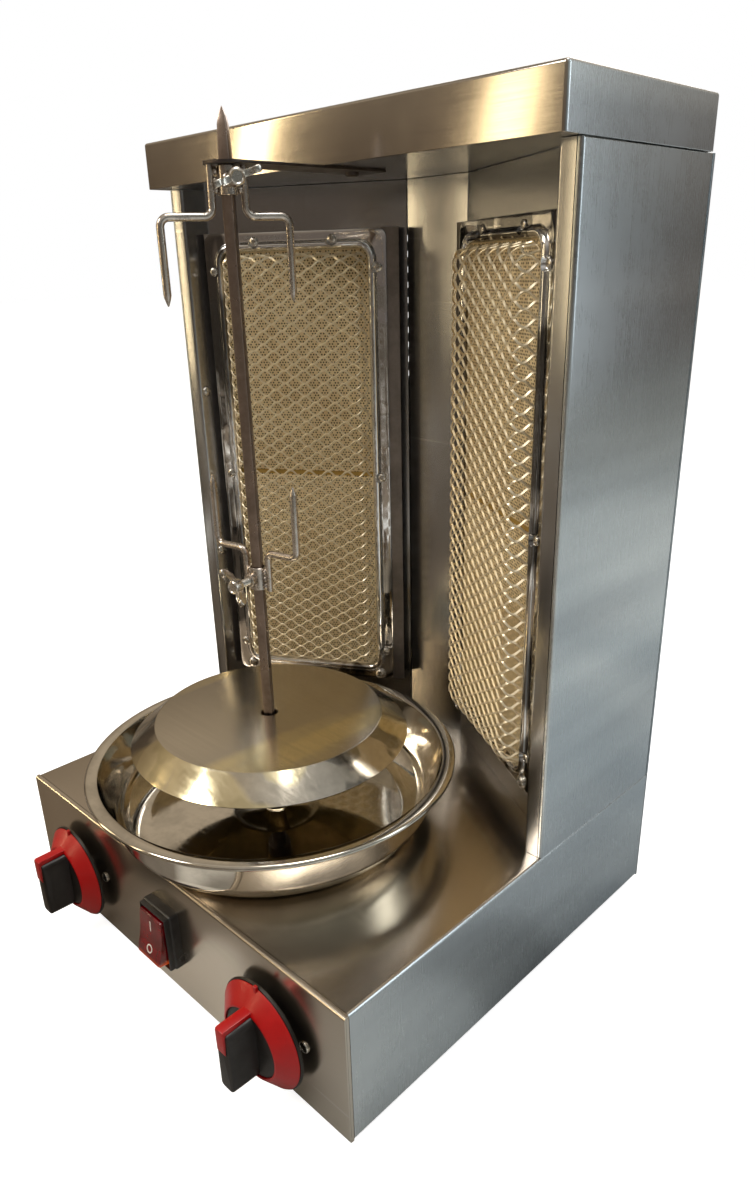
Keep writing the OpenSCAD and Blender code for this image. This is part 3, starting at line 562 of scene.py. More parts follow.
MAT = {
    "front": brushed("front_steel", WARM, WARM_DARK, GRAIN_X, 0.22, 0.45, 0.25),
    "deck": brushed("deck_steel", WARM, WARM_DARK, GRAIN_X, 0.20, 0.55, 0.0, "X"),
    # Side sheets: a painted cool reflection tint and painted reflection bands.
    "side": brushed("side_steel", COOL, COOL_DARK, GRAIN_Z, 0.27, 0.6, 0.0, bands=0.55),
    "inside": brushed("inside_steel", INNER, INNER_DARK, GRAIN_Z, 0.20, 0.6, 0.0),
    "hood": brushed("hood_steel", HOOD, HOOD_DARK, GRAIN_X, 0.14, 0.5, 0.25),
    # The plate's top carries painted golden lamp streaks.
    "plate": brushed("plate_steel", PLATE, PLATE_DARK, PLATE_GRAIN, 0.20, 0.5, 0.25, painted_lamp_streak=0.8),
    # The skirt carries painted reflections: dark patches and golden painted highlights.
    "skirt": polished("skirt_steel", (0.66, 0.60, 0.49), 0.10, 38.0, 0.35, 0.6, PAINTED_GOLD_HIGHLIGHT),
    # Painted shade: dark bronze for the plate's down-facing and low upright faces and its hub, so
    # they read shaded and reflect dark in the pan.
    "under": plain_metal("plate_under", (0.20, 0.14, 0.055), 0.30, 60.0, 1.0, 0.5, 0.15),
    "pan": polished("pan_steel", (0.70, 0.65, 0.56), 0.04, 14.0, 0.10),
    # The frame carries painted reflections: dark patches and white painted highlights.
    "frame": polished("frame_steel", (0.80, 0.78, 0.76), 0.04, 48.0, 0.6, 0.85),
    "guard": plain_metal("guard_wire", (0.95, 0.84, 0.62), 0.34, 160.0, 0.6, 0.15, 0.15),
    "spit": plain_metal("spit_steel", (0.42, 0.33, 0.275), 0.28, 90.0, 1.0, 0.4, 0.15),
    "wire": plain_metal("fork_steel", (0.68, 0.61, 0.54), 0.20, 140.0, 1.0, 0.35, 0.15),
    "screw": plain_metal("screw_plate", (0.74, 0.70, 0.63), 0.20, 300.0, 1.0, 0.35, 0.15),
    "bracket": plain_metal("bracket_steel", (0.13, 0.11, 0.10), 0.34, 90.0, 1.0, 0.4, 0.2),
    "mount": plain_metal("mount_steel", (0.30, 0.27, 0.25), 0.36, 60.0, 1.0, 0.35, 0.2),
    "inner": plain_metal("inner_steel", (0.52, 0.51, 0.50), 0.38, 50.0, 1.0, 0.25, 0.2),
    "brass": plain_metal("valve_brass", (0.66, 0.48, 0.20), 0.30, 150.0, 1.0, 0.3, 0.2),
    "copper": plain_metal("pipe_copper", (0.66, 0.34, 0.20), 0.28, 150.0, 1.0, 0.35, 0.2),
    "motor": plain_metal("motor_paint", (0.36, 0.37, 0.38), 0.42, 200.0, 0.3, 0.2, 0.3),
    "gasket": plastic("gasket_fibre", (0.70, 0.68, 0.62), 0.9, 1400.0, 0.8),
    "black": plastic("knob_black", (0.010, 0.0075, 0.006), 0.42),
    "switch": plastic("switch_black", (0.012, 0.011, 0.011), 0.34),
    "rubber": plastic("foot_rubber", (0.020, 0.020, 0.020), 0.75, 600.0, 0.5),
    "red": plastic("knob_red", (0.44, 0.002, 0.003), 0.36, 900.0, 0.15, 0.12, 0.0),
    "lens": lens_red("rocker_lens"),
    "mark": plastic("mark_white", (0.80, 0.74, 0.70), 0.5),
    "cement": plastic("tile_cement", (0.42, 0.27, 0.07), 0.9, 900.0, 0.6),
    "tile_right": ceramic("tile_right", 1),
    "tile_left": ceramic("tile_left", -1),
}


# ---------------------------------------------------------------- cabinet
def along_x(a, b, c):
    return cab(c, a, b)


def along_y(a, b, c):
    return cab(a, c, b)


def along_z(a, b, c):
    return cab(a, b, c)


def side_faces(obj):
    """Gives the faces that look left or right the side sheet, whose cooler tint and pale and dark
    bands are painted reflections.
    """
    obj.data.materials.append(MAT["side"])
    for p in obj.data.polygons:
        if abs(p.normal.x) > 0.7:
            p.material_index = 1


def build_base():
    t = SHEET_T
    bm = bmesh.new()
    strip(bm, [(2.6, BASE_TOP - t / 2), (t / 2, BASE_TOP - t / 2), (t / 2, t / 2), (2.6, t / 2)],
          t, -HALF_W, HALF_W, along_x, 1.1)
    strip(bm, [(2.0, t / 2), (12.5, t / 2)], t, -126.5, 126.5, along_x)
    for side in (-1, 1):
        edge_x = side * (HALF_W - t / 2)
        strip(bm, [(0.9, edge_x), (2.6, edge_x)], t, 1.2, BASE_TOP - 1.2,
              lambda a, b, c: cab(b, a, c))
    panel = make("front_panel_sheet", bm, MAT["front"], "cabinet", ["front_panel"])
    y0, y1 = -3.0, 6.0
    cuts = [round_cutter(cab(x, y0, KNOB_Z), cab(x, y1, KNOB_Z), 6.0, 48)
            for x in (-KNOB_X, KNOB_X)]
    cuts.append(box_cutter(cab, (SWITCH_X - 11, y0, SWITCH_Z - 14.9),
                           (SWITCH_X + 11, y1, SWITCH_Z + 14.9)))
    carve(panel, cuts, MAT["front"])

    m = HALF_W - t / 2
    bm = bmesh.new()
    strip(bm, [(-128, t / 2), (-m, t / 2), (-m, BASE_TOP - t / 2), (m, BASE_TOP - t / 2),
               (m, t / 2), (128, t / 2)], t, 2.9, 255.7, along_y, 1.4)
    wrap = make("base_wrap_sheet", bm, MAT["deck"], "cabinet", ["base_wrap"])
    tube_y = (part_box("feed_pipe_right")[1].y - FRONT_Y) / MM - 4.5
    cuts = [upright_cutter(0, SPIT_Y, 7.3, 70, 80)]
    cuts += [upright_cutter(s * KNOB_X, tube_y, 9, 70, 80) for s in (-1, 1)]
    carve(wrap, cuts, MAT["deck"])
    side_faces(wrap)


def build_tower():
    t = SHEET_T
    m = HALF_W - t / 2
    z0, z1 = BASE_TOP + GAP, CEILING_Z - GAP
    top_z = cab(0, 0, z1).z
    for side, name in ((-1, "left"), (1, "right")):
        bm = bmesh.new()
        strip(bm, [(side * 137.6, TOWER_Y + t / 2), (side * m, TOWER_Y + t / 2),
                   (side * m, 255.2), (side * (m - 10), 255.2)], t, z0, z1, along_z, 1.2)
        top = [e for e in bm.edges if all(abs(v.co.z - top_z) < 1e-6
                                          and abs(v.co.x) > (m + 0.3) * MM for v in e.verts)]
        bmesh.ops.bevel(bm, geom=top, offset=0.7 * MM, segments=3, profile=0.5, affect="EDGES")
        make("tower_side_" + name + "_sheet", bm, MAT["side"], "cabinet",
             ["tower_side_" + name])

        a = WING_IN + WING_Y * (t / 2)
        bx = WING_OUT_X + t / 2
        by = a.y - (bx - a.x) * math.tan(WING_ANGLE)
        bm = bmesh.new()
        strip(bm, [(side * a.x, a.y), (side * bx, by), (side * bx, TOWER_Y + t / 2),
                   (side * 137.2, TOWER_Y + t / 2)], t, z0, z1, along_z, 1.6)
        panel = make("wing_panel_" + name + "_sheet", bm, MAT["inside"], "cabinet",
                     ["wing_panel_" + name])
        carve(panel, [box_cutter(wing(side), (16.3, -3, 107.9), (116.3, 4, 380.1))],
              MAT["inside"])

    m = WING_IN.x - 0.5
    bm = bmesh.new()
    strip(bm, [(-m, 230), (-m, 223.1), (m, 223.1), (m, 230)], t, z0, z1, along_z, 0.6)
    make("centre_back_sheet", bm, MAT["inside"], "cabinet", ["centre_back_panel"])


def build_hood():
    lo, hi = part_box("top_hood")
    w, d = (hi.x - lo.x) / MM, (hi.y - lo.y) / MM
    cy = ((lo.y + hi.y) / 2 - FRONT_Y) / MM
    z0, z1 = (lo.z - BASE_Z) / MM, (hi.z - BASE_Z) / MM
    r = 1.5
    profile = [(-1.0, z1 - 1.0), (-1.0, z0 + 0.15), (-0.85, z0), (-0.15, z0), (0.0, z0 + 0.15)]
    profile += [(r * (math.cos(math.radians(a)) - 1), z1 - r + r * math.sin(math.radians(a)))
                for a in range(0, 91, 15)]
    bm = bmesh.new()
    shell(bm, w, d, 1.8, profile, lambda x, y, z: cab(x, cy + y, z))
    hood = make("top_hood_sheet", bm, MAT["hood"], "cabinet", ["top_hood"])
    side_faces(hood)


# ---------------------------------------------------------------- burners
def burner_plane(side):
    """Maps (across, up, off the wing) about the burner's middle to the row frame."""
    w = wing(side)
    return lambda a, b, h: w(BURNER_S + a, h, BURNER_Z + b)


def frame_screws():
    """(across, up) of each small screw in the burner's frame."""
    out = [(s, 137.0) for s in (-24, 24)]
    return out + [(s, z - BURNER_Z) for s in (-51, 51) for z in (122.7, 242.5, 365.0)]


def big_screws():
    """(across, up) of the two larger screws in the frame's lower edge."""
    return [(s, BIG_SCREW_Z - BURNER_Z) for s in (-BIG_SCREW_S, BIG_SCREW_S)]


def build_frame(side, name):
    place = burner_plane(side)
    bead = 2.6
    profile = [(0.0, -8.0), (0.0, -8.7)]
    profile += [(bead - bead * math.cos(math.radians(a)), -8.7 - bead * math.sin(math.radians(a)))
                for a in range(12, 169, 12)]
    profile += [(5.35, -9.05), (5.9, -9.0), ((8.4, 8.4, 8.0), -9.0), ((10.5, 9.8, 4.4), -9.0),
                ((10.95, 10.25, 4.8), -8.9), ((11.15, 10.45, 5.0), -8.7), ((11.2, 10.5, 5.0), -8.4),
                ((11.2, 10.5, 5.0), -8.0)]
    bm = bmesh.new()
    shell(bm, OPEN_W, OPEN_H, 6, profile, place, False, True, 8)
    pressed = make("burner_frame_" + name + "_pressed", bm, MAT["frame"], "cabinet",
                   ["burner_frame_" + name])
    cuts = []
    seats = [(a, b, 3.2) for a, b in frame_screws()] + [(a, b, 4.2) for a, b in big_screws()]
    for a, b, r in seats:
        bm = bmesh.new()
        cone = [(0.0, -8.96), (r * 0.9, -8.96), (r, -9.3), (r + 1.2, -12.5), (0.0, -12.5)]
        lathe(bm, cone, lambda x, y, z, a=a, b=b: place(a + x, b + y, z), 32)
        cuts.append(cutter(bm))
    carve(pressed, cuts, MAT["frame"])


def guard_point(place, u, v):
    """A point of the guard's surface: flat in front, rounded over, then down to the frame."""
    uw, vh, drop = 38.0, 124.0, 9.6
    bend, slope = 4.0, math.radians(72)
    du, dv = max(abs(u) - uw, 0.0), max(abs(v) - vh, 0.0)
    d = math.hypot(du, dv)
    arc = bend * slope
    if d <= arc:
        a = d / bend
        out, depth = bend * math.sin(a), bend * (1 - math.cos(a))
    else:
        a = slope
        out = bend * math.sin(a) + (d - arc) * math.cos(a)
        depth = bend * (1 - math.cos(a)) + (d - arc) * math.sin(a)
    fx, fz = (du / d, dv / d) if d > 0 else (0, 0)
    x = math.copysign(min(abs(u), uw) + out * fx, u)
    z = math.copysign(min(abs(v), vh) + out * fz, v)
    return Vector(place(x, z, -19.0 + min(depth, drop))), d


# How far past its flat front the guard goes, and how each strand leans in its sheet.
GUARD_REACH = 12.4
LEAN = Vector((math.cos(math.radians(38)), math.sin(math.radians(38))))


def build_guard(side, name):
    place = burner_plane(side)
    wide, tall, hw, ht = 12.5, 7.6, 0.56 * MM, 0.32 * MM
    bm = bmesh.new()

    def strand(u0, v0, u1, v1):
        """One side of a diamond: a flat bar that runs level where it meets the next one."""
        pts = []
        for k in range(7):
            t = k / 6
            u = u0 + (u1 - u0) * t
            v = v0 + (v1 - v0) * (0.5 - 0.5 * math.cos(math.pi * t))
            p, d = guard_point(place, u, v)
            if d <= GUARD_REACH:
                q, _ = guard_point(place, u + 0.2, v)
                r, _ = guard_point(place, u, v + 0.2)
                pts.append((p, (q - p).cross(r - p).normalized()))
        if len(pts) < 2:
            return
        rings = []
        for i, (p, n) in enumerate(pts):
            t = (pts[min(i + 1, len(pts) - 1)][0] - pts[max(i - 1, 0)][0]).normalized()
            s = t.cross(n).normalized()
            s = s if s.z > 0 else -s
            a, b = (s * LEAN.x - n * LEAN.y) * hw, (n * LEAN.x + s * LEAN.y) * ht
            rings.append([bm.verts.new(p + a + b), bm.verts.new(p - a + b),
                          bm.verts.new(p - a - b), bm.verts.new(p + a - b)])
        join_loops(bm, rings)
        bm.faces.new(rings[0])
        bm.faces.new(rings[-1])

    cols, rows = 5, 20
    for j in range(-2 * rows, 2 * rows + 1):
        for i in range(-cols, cols + 1):
            u0 = (i + (0.5 if j % 2 else 0.0)) * wide
            v0 = j * tall / 2
            for du in (-0.5, 0.5):
                strand(u0, v0, u0 + du * wide, v0 + tall / 2)
    make("burner_guard_" + name + "_mesh", bm, MAT["guard"], "cabinet", ["burner_guard_" + name],
         60)


def build_tiles(side, name):
    place = burner_plane(side)
    bm = bmesh.new()
    for up in (67.5, -67.5):
        profile = [(-0.6, 5.1), (0, 4.5), (0, -7.0), (-0.25, -7.65), (-0.9, -7.9)]
        shell(bm, TILE_W, TILE_H, 1.2, profile, lambda a, b, h, up=up: place(a, up + b, h))
    shell(bm, 91, 3.2, 0.3, [(0, 3.0), (0, -6.4), (-0.3, -6.6)], place)
    tiles = make("burner_tiles_" + name, bm, MAT["tile_" + name], "cabinet", ["tiles_" + name])
    tiles.data.materials.append(MAT["cement"])
    joint_z = place(0, 0, 0).z
    for p in tiles.data.polygons:
        if abs(p.center.z - joint_z) < 1.4 * MM:
            p.material_index = 1


# ---------------------------------------------------------------- screws
def screw_head(r, h):
    """A domed head with a cross recess, its seat on z = 0, in its own frame in mm."""
    bm = bmesh.new()
    top = [(r * math.cos(math.radians(a)), h * (0.25 + 0.75 * math.sin(math.radians(a))))
           for a in range(0, 90, 15)]
    lathe(bm, [(0, 0), (r * 0.96, 0)] + top + [(0, h)], lambda x, y, z: Vector((x, y, z)), 32)
    obj = new_object("head", bm)
    cuts = []
    for w, d in ((r * 1.15, r * 0.3), (r * 0.3, r * 1.15)):
        bm = bmesh.new()
        v = [bm.verts.new((x * w / 2 * k, y * d / 2 * k, z))
             for z, k in ((h * 0.5, 0.62), (h + 1, 1.3))
             for x, y in ((-1, -1), (1, -1), (1, 1), (-1, 1))]
        join_loops(bm, [v[:4], v[4:]])
        bm.faces.new(v[:4])
        bm.faces.new(v[4:])
        cuts.append(cutter(bm))
    carve(obj, cuts)
    me = obj.data
    bpy.data.objects.remove(obj)
    return me


def put_heads(bm, head, places):
    """Copies a head to each (position, direction it faces, turn)."""
    for pos, out, turn in places:
        aim = out.to_track_quat("Z", "Y").to_matrix().to_4x4()
        spin = Matrix.Rotation(math.radians(turn), 4, "Z")
        mat = Matrix.Translation(pos) @ aim @ spin @ Matrix.Scale(MM, 4)
        tmp = bmesh.new()
        tmp.from_mesh(head)
        tmp.transform(mat)
        me = bpy.data.meshes.new("tmp")
        tmp.to_mesh(me)
        tmp.free()
        bm.from_mesh(me)
        bpy.data.meshes.remove(me)


def build_screws():
    small, big = screw_head(2.6, 1.35), screw_head(3.6, 2.3)
    pillar, valve = screw_head(3.2, 2.2), screw_head(3.0, 1.6)
    bm = bmesh.new()
    for side in (-1, 1):
        place = burner_plane(side)
        out = (place(0, 0, -1) - place(0, 0, 0)).normalized()
        for head, places in ((small, frame_screws()), (big, big_screws())):
            put_heads(bm, head, [(place(a, b, SCREW_SEAT), out, random.uniform(0, 90))
                                 for a, b in places])
        for a, b in big_screws():
            tube(bm, [place(a, b, SCREW_SEAT - 0.2), place(a, b, 3)], 1.5 * MM, 12)
    make("burner_screw_heads", bm, MAT["screw"], "cabinet", ["burner_screws"], 40)
    bm = bmesh.new()
    for side in (-1, 1):
        put_heads(bm, pillar, [(cab(side * WING_OUT_X, TOWER_Y + 5.3, z), Vector((-side, 0, 0)),
                                random.uniform(0, 90)) for z in PILLAR_SCREW_Z])
        put_heads(bm, valve, [(cab(side * KNOB_X + s, 0, KNOB_Z + 5), Vector((0, -1, 0)),
                               random.uniform(0, 90)) for s in (-24, 24)])
    make("panel_screw_heads", bm, MAT["screw"], "cabinet", ["panel_screws"], 40)


# ---------------------------------------------------------------- pan, plate, spit
def build_pan():
    t, fil, flare = 0.8, 20.0, math.radians(15)
    foot, h = 71.5, 37.5
    z0 = BASE_TOP + GAP
    wall_r, wall_z = foot + fil * math.cos(flare), fil * (1 - math.sin(flare))
    rim = wall_r + (h - 1 - wall_z) * math.tan(flare)
    roll_r, roll_c = 1.6, (101.6, h - 1.6)
    outer = [(5.3, 0.0), (20.0, 0.0), (22.5, 0.0), (foot, 0.0)]
    arc = [math.radians(a) for a in range(-90, -14, 5)]
    outer += [(foot + fil * math.cos(a), fil + fil * math.sin(a)) for a in arc[1:]]
    outer += [(rim - 0.2, h - 1.9), (rim + 0.5, h - t - 0.1), (roll_c[0] - 0.6, h - t)]
    roll = [(roll_c[0] + roll_r * math.cos(math.radians(a)),
             roll_c[1] + roll_r * math.sin(math.radians(a))) for a in range(-200, 91, 18)]
    inner = [(rim + 0.6, h), (rim - 0.4, h - 0.35), (rim - t - 0.05, h - 1.6)]
    inner += [(foot + (fil - t) * math.cos(a), fil + (fil - t) * math.sin(a))
              for a in reversed(arc)]
    inner += [(28.0, t), (26.5, t + 0.2), (24.0, t + 0.2), (22.5, t), (7.6, t), (6.5, t + 0.4),
              (6.2, t + 1.4), (6.2, 16.6), (6.0, 17.0), (5.5, 17.0), (5.3, 16.7)]
    bm = bmesh.new()
    lathe(bm, outer + roll + inner, spit(0, z0), 160, True)
    make("drip_pan_spun", bm, MAT["pan"], "drip_pan", ["drip_pan", "pan_wall"], 40)


def build_plate():
    top, edge = 138.2, 126.4
    bm = bmesh.new()
    profile = [(4.7, top - 1.2), (4.7, top - 0.2), (4.9, top), (61.6, top), (62.6, top - 0.2)]
    profile += [(76.1, edge + 0.7), (76.5, edge + 0.35), (76.4, edge), (75.7, edge),
                (75.3, edge + 0.3), (62.0, top - 1.4), (61.0, top - 1.3), (7.5, top - 1.2)]
    lathe(bm, profile, spit(), 160, True)
    hub = [(4.55, 111.8), (7.2, 111.8), (7.5, 112.1), (7.5, top - 1.25), (4.55, top - 1.25)]
    lathe(bm, hub, spit(), 48, True)
    plate = make("meat_plate_spun", bm, MAT["plate"], "rotor", ["meat_plate"],
                 25)
    plate.data.materials.append(MAT["skirt"])
    plate.data.materials.append(MAT["under"])
    # Down-facing and low upright faces, the hub with them, take the dark colour of painted shade;
    # other low faces take the skirt's painted reflections.
    top_z = cab(0, 0, top - 0.25).z
    for p in plate.data.polygons:
        low = p.center.z < top_z
        if p.normal.z < -0.05 or (low and abs(p.normal.z) < 0.05):
            p.material_index = 2
        elif low:
            p.material_index = 1


def build_spit():
    place = spit(-57.0)
    levels = [(108.3, 1.0), (112, 1.0), (405, 1.0), (413, 0.985), (424.5, 0.84), (427.5, 0.62),
              (431.0, 0.12), (431.45, 0.05)]
    bm = bmesh.new()
    loops = []
    for z, k in levels:
        loops.append([bm.verts.new(place(x * k, y * k, z)) for x, y in rect_ring(5, 5, 0.45, 3)])
    join_loops(bm, loops)
    bm.faces.new(loops[0])
    bm.faces.new(loops[-1])
    make("spit_bar", bm, MAT["spit"], "rotor", ["spit_rod"], 20)


def build_fork(name, place, body):
    """A collar with its boss, and two wires bent out, down and to a point."""
    bm = bmesh.new()
    ring = [(3.6, 0.0), (4.1, 0.0), (4.35, 0.25), (4.35, COLLAR_H - 0.25), (4.1, COLLAR_H),
            (3.6, COLLAR_H)]
    lathe(bm, ring, place, 40, True)

    def boss(x, y, z):
        return place(x, -z, COLLAR_H / 2 + y)
    lathe(bm, [(2.05, 4.0), (3.4, 4.0), (3.4, 7.2), (3.1, 7.6), (2.05, 7.6)], boss, 32, True)
    make(name + "_collar_turned", bm, MAT["wire"], body, [name + "_collar"], 35)

    bm = bmesh.new()
    for side, reach in ((-1, 31.5 if name == "upper" else 27.5), (1, 27.5)):
        line = fillet([(side * 7.6, 0, 12.2), (side * 7.6, 0, -8.5), (side * reach, 0, -8.5),
                       (side * reach, 0, -40.5)], 4.0, 8)
        line += [Vector((side * reach, 0, z)) for z in (-41.5, -43.5, -45.2)]
        pts = [place(*p) for p in line]
        radii = [1.8 * MM] * len(pts)
        radii[-3:] = [1.62 * MM, 0.95 * MM, 0.3 * MM]
        radii[0] = 1.5 * MM
        tube(bm, pts, radii, 16)
        for z in (2.2, 6.0, 9.8):
            blob = [(0.0, -2.0), (1.1, -1.7), (1.75, -0.8), (1.8, 0.4), (1.3, 1.5), (0.0, 1.9)]
            lathe(bm, blob, lambda x, y, w, s=side, z=z: place(s * (5.45 + w * 0.55), x, z + y), 14)
    make(name + "_wires", bm, MAT["wire"], body, [name + "_prongs"], 50)


def build_wing_screw(name, place, tilt, body):
    """z of the screw's own frame is its axis, pointing away from the spit."""
    ct, st = math.cos(math.radians(tilt)), math.sin(math.radians(tilt))

    def screw(x, y, z):
        return place(ct * x - st * y, -z, COLLAR_H / 2 + st * x + ct * y)
    bm = bmesh.new()
    thread = [(0.0, 3.55), (1.6, 3.55)]
    z = 4.0
    while z < 14.3:
        thread += [(1.72, z), (1.98, z + 0.35)]
        z += 0.7
    thread += [(1.8, 14.4), (3.2, 14.5), (3.8, 14.9), (3.8, 17.6), (3.5, 19.2), (3.0, 19.6),
               (2.6, 19.4), (2.3, 19.1), (0.0, 19.1)]
    lathe(bm, thread, screw, 32)
    ear = [(2.2, 14.9), (4.2, 14.6), (6.6, 15.4), (8.9, 16.4), (10.3, 17.7), (10.95, 19.2),
           (10.7, 20.5), (9.6, 21.0), (8.3, 20.9), (7.3, 20.2), (6.2, 19.5), (4.6, 19.2),
           (2.2, 19.0)]
    for s in (-1, 1):
        slab(bm, ear, -1.5, 1.5, lambda a, b, c, s=s: screw(s * a, c, b), 0.6, 3)
    make(name + "_turned", bm, MAT["screw"], body, [name], 35)


def build_bracket():
    z0, z1 = CEILING_Z - 1.2, CEILING_Z
    outline = [(10.0 * math.cos(math.radians(a)), SPIT_Y + 10.0 * math.sin(math.radians(a)))
               for a in range(180, 361, 9)] + [(10.0, 172.0), (-10.0, 172.0)]
    bm = bmesh.new()
    slab(bm, outline, z0, z1, along_z, 0.25)
    lathe(bm, [(3.6, z1 - 0.2), (6.0, z1 - 0.2), (6.0, z1 + 1.1), (5.6, z1 + 1.5), (3.6, z1 + 1.5)],
          spit(), 40, True)
    lathe(bm, [(0, z0 - 2.0), (2.6, z0 - 1.8), (3.5, z0 - 1.1), (3.6, z0), (0, z0)],
          lambda x, y, z: cab(x, 158 + y, z), 24)
    plate = make("top_bracket_strip", bm, MAT["bracket"], "cabinet", ["top_bracket"])
    carve(plate, [upright_cutter(0, SPIT_Y, 3.6, 400, 420)], MAT["bracket"])


# ---------------------------------------------------------------- controls
def build_knob(side, name):
    place = knob_at(side)
    body = name + "_knob"
    bm = bmesh.new()
    disc = [(3.0, 4.4), (27.6, 4.4), (28.3, 4.6), (28.5, 5.0), (28.5, 5.7), (28.2, 6.1),
            (27.6, 6.2), (18.0, 6.2), (18.0, 12.2), (17.7, 12.8), (17.0, 13.0), (0.0, 13.0)]
    lathe(bm, disc + [(0.0, 4.4)], place, 96)
    stem = [(0.0, -16.0), (2.7, -16.0), (3.0, -15.7), (3.0, 4.5), (0.0, 4.5)]
    lathe(bm, stem, place, 32)
    grip = [(0.3, 12.6), (0.0, 14.0), (-0.25, 24.0), (-0.35, 27.0), (-0.6, 27.6), (-1.3, 28.0)]
    shell(bm, 10.4, 35.4, 3.2, grip, place)
    make("knob_" + name + "_moulded", bm, MAT["black"], body, ["knob_" + name], 30)

    bm = bmesh.new()
    skirt = [(18.05, 6.25), (27.4, 6.25), (27.75, 6.4), (27.75, 6.7), (19.4, 13.25), (18.9, 13.5),
             (18.2, 13.5), (18.05, 13.3)]
    lathe(bm, skirt, place, 96, True)
    make("knob_skirt_" + name + "_moulded", bm, MAT["red"], body, ["knob_skirt_" + name],
         30)

    bm = bmesh.new()
    arm = [(17.75, 11.6), (20.15, 11.0), (20.15, 28.0), (19.6, 28.9), (18.4, 29.0), (7.0, 29.0),
           (6.0, 28.6), (6.0, 28.05), (17.1, 28.05), (17.75, 27.5)]
    slab(bm, arm, -2.9, 2.9, lambda a, b, c: place(c, a, b), 0.35)
    tick = [(26.4, 6.3), (29.7, 6.3), (29.9, 6.6), (29.9, 7.6), (29.6, 7.9), (26.4, 7.9)]
    slab(bm, tick, -1.0, 1.0, lambda a, b, c: place(c, a, b), 0.3)
    make("knob_pointer_" + name + "_moulded", bm, MAT["red"], body, ["knob_pointer_" + name],
         30)


def switch_at(x, y, z):
    """Maps (right, up, out of the panel) at the switch to the row frame."""
    return cab(SWITCH_X + x, -z, SWITCH_Z + y)


def build_switch():
    bm = bmesh.new()
    profile = [(-1.9, 0.0), (0.0, 0.0), (0.0, 4.2), (-0.15, 4.6), (-0.75, 5.2), (-0.75, 7.4),
               (-1.0, 7.85), (-1.4, 8.0), (-1.75, 7.9), (-1.9, 7.5)]
    shell(bm, 25.5, 35.0, 1.5, profile, switch_at, False, True)
    bezel = make("switch_bezel_moulded", bm, MAT["switch"], "cabinet", ["switch_bezel"],
                 30)
    hinge = 3
    pin = round_cutter(switch_at(-11.8, 0, hinge), switch_at(11.8, 0, hinge), 1.25, 24)
    carve(bezel, [pin], MAT["switch"])

    tilt = math.radians(10)

    def rock(x, y, z):
        """(right, up, out) about the hinge, with the upper end pressed in."""
        return switch_at(x, y * math.cos(tilt) + z * math.sin(tilt),
                         hinge - y * math.sin(tilt) + z * math.cos(tilt))
    bm = bmesh.new()
    face = [(-13.4, -0.4), (13.4, -0.4), (13.4, 7.9), (12.7, 8.6), (9.0, 8.2), (5.0, 7.7),
            (0.0, 7.45), (-5.0, 7.7), (-9.0, 8.2), (-12.7, 8.6), (-13.4, 7.9)]
    slab(bm, face, -10.3, 10.3, lambda a, b, c: rock(c, a, b), 0.9, 3)
    tube(bm, [switch_at(-11.5, 0, hinge), switch_at(11.5, 0, hinge)], 1.2 * MM, 20)
    slab(bm, [(-5, -4.6), (5, -4.6), (5, -0.2), (-5, -0.2)], -8, 8, lambda a, b, c: rock(c, a, b))
    make("switch_rocker_moulded", bm, MAT["lens"], "rocker", ["switch_rocker"], 30)

    bm = bmesh.new()
    slab(bm, [(3.6, 7.55), (9.6, 8.2), (9.6, 8.45), (3.6, 7.8)], -0.45, 0.45,
         lambda a, b, c: rock(c, a, b))
    ring = [(2.5, 0.0), (2.5, 0.22), (1.75, 0.22), (1.75, 0.0)]
    slope = math.atan2(8.2 - 7.7, 4.0)

    def lower_face(x, y, z):
        return rock(x, -7.0 + y * math.cos(slope), 7.9 + z - y * math.sin(slope))
    lathe(bm, ring, lower_face, 40, True)
    make("switch_marks", bm, MAT["mark"], "rocker", (), 30)


def build_feet():
    bm = bmesh.new()
    foot = [(4.6, -5.8), (4.8, -6.0), (7.6, -6.0), (8.1, -5.7), (8.9, 0.6), (8.8, 1.0), (2.2, 1.0),
            (2.2, -2.5), (4.6, -2.5)]
    for x in (-FOOT_X, FOOT_X):
        for y in FOOT_Y:
            lathe(bm, foot, lambda px, py, pz, x=x, y=y: cab(x + px, y + py, pz), 40, True)
    make("rubber_feet_moulded", bm, MAT["rubber"], "cabinet", ["rubber_feet"], 30)


build_base()
build_tower()
build_hood()
for burner_side, burner_name in ((-1, "left"), (1, "right")):
    build_frame(burner_side, burner_name)
    build_guard(burner_side, burner_name)
    build_tiles(burner_side, burner_name)
    build_knob(burner_side, burner_name)
build_screws()
build_pan()
build_plate()
build_spit()
UPPER = spit(66.0, CEILING_Z - 1.5 - COLLAR_H)
LOWER = spit(8.0, 211.5 + COLLAR_H, -1)
build_fork("upper", UPPER, "upper_fork")
build_fork("lower", LOWER, "lower_fork")
build_wing_screw("upper_wing_screw", UPPER, 18.0, "upper_screw")
build_wing_screw("lower_wing_screw", LOWER, 50.0, "lower_screw")
build_bracket()
build_switch()
build_feet()

# CAD nodes that stay take a finished material by their record slot.
SLOT_MATERIAL = {
    "stainless_brushed": "inside", "stainless_side": "side", "mirror_steel": "frame",
    "spit_steel": "spit", "guard_steel": "guard", "ceramic_tile": "tile_right",
    "gasket_fibre": "gasket", "steel_dark": "mount", "steel_inner": "inner", "brass_gas": "brass",
    "copper_pipe": "copper", "screw_steel": "screw", "rubber_black": "rubber",
    "knob_black": "black", "knob_red": "red", "switch_black": "switch", "rocker_red": "lens",
    "motor_grey": "motor",
}
for part in frame["record"]["subparts"]:
    node = frame["nodes"][part["node"]]
    if node.hide_render:
        continue
    node.data.materials.clear()
    node.data.materials.append(MAT[SLOT_MATERIAL[part["material_slot"]]])
    node.data.shade_smooth()
    node.data.set_sharp_from_angle(angle=math.radians(32))
frame["nodes"]["drive_shaft"].data.materials.clear()
frame["nodes"]["drive_shaft"].data.materials.append(MAT["bracket"])


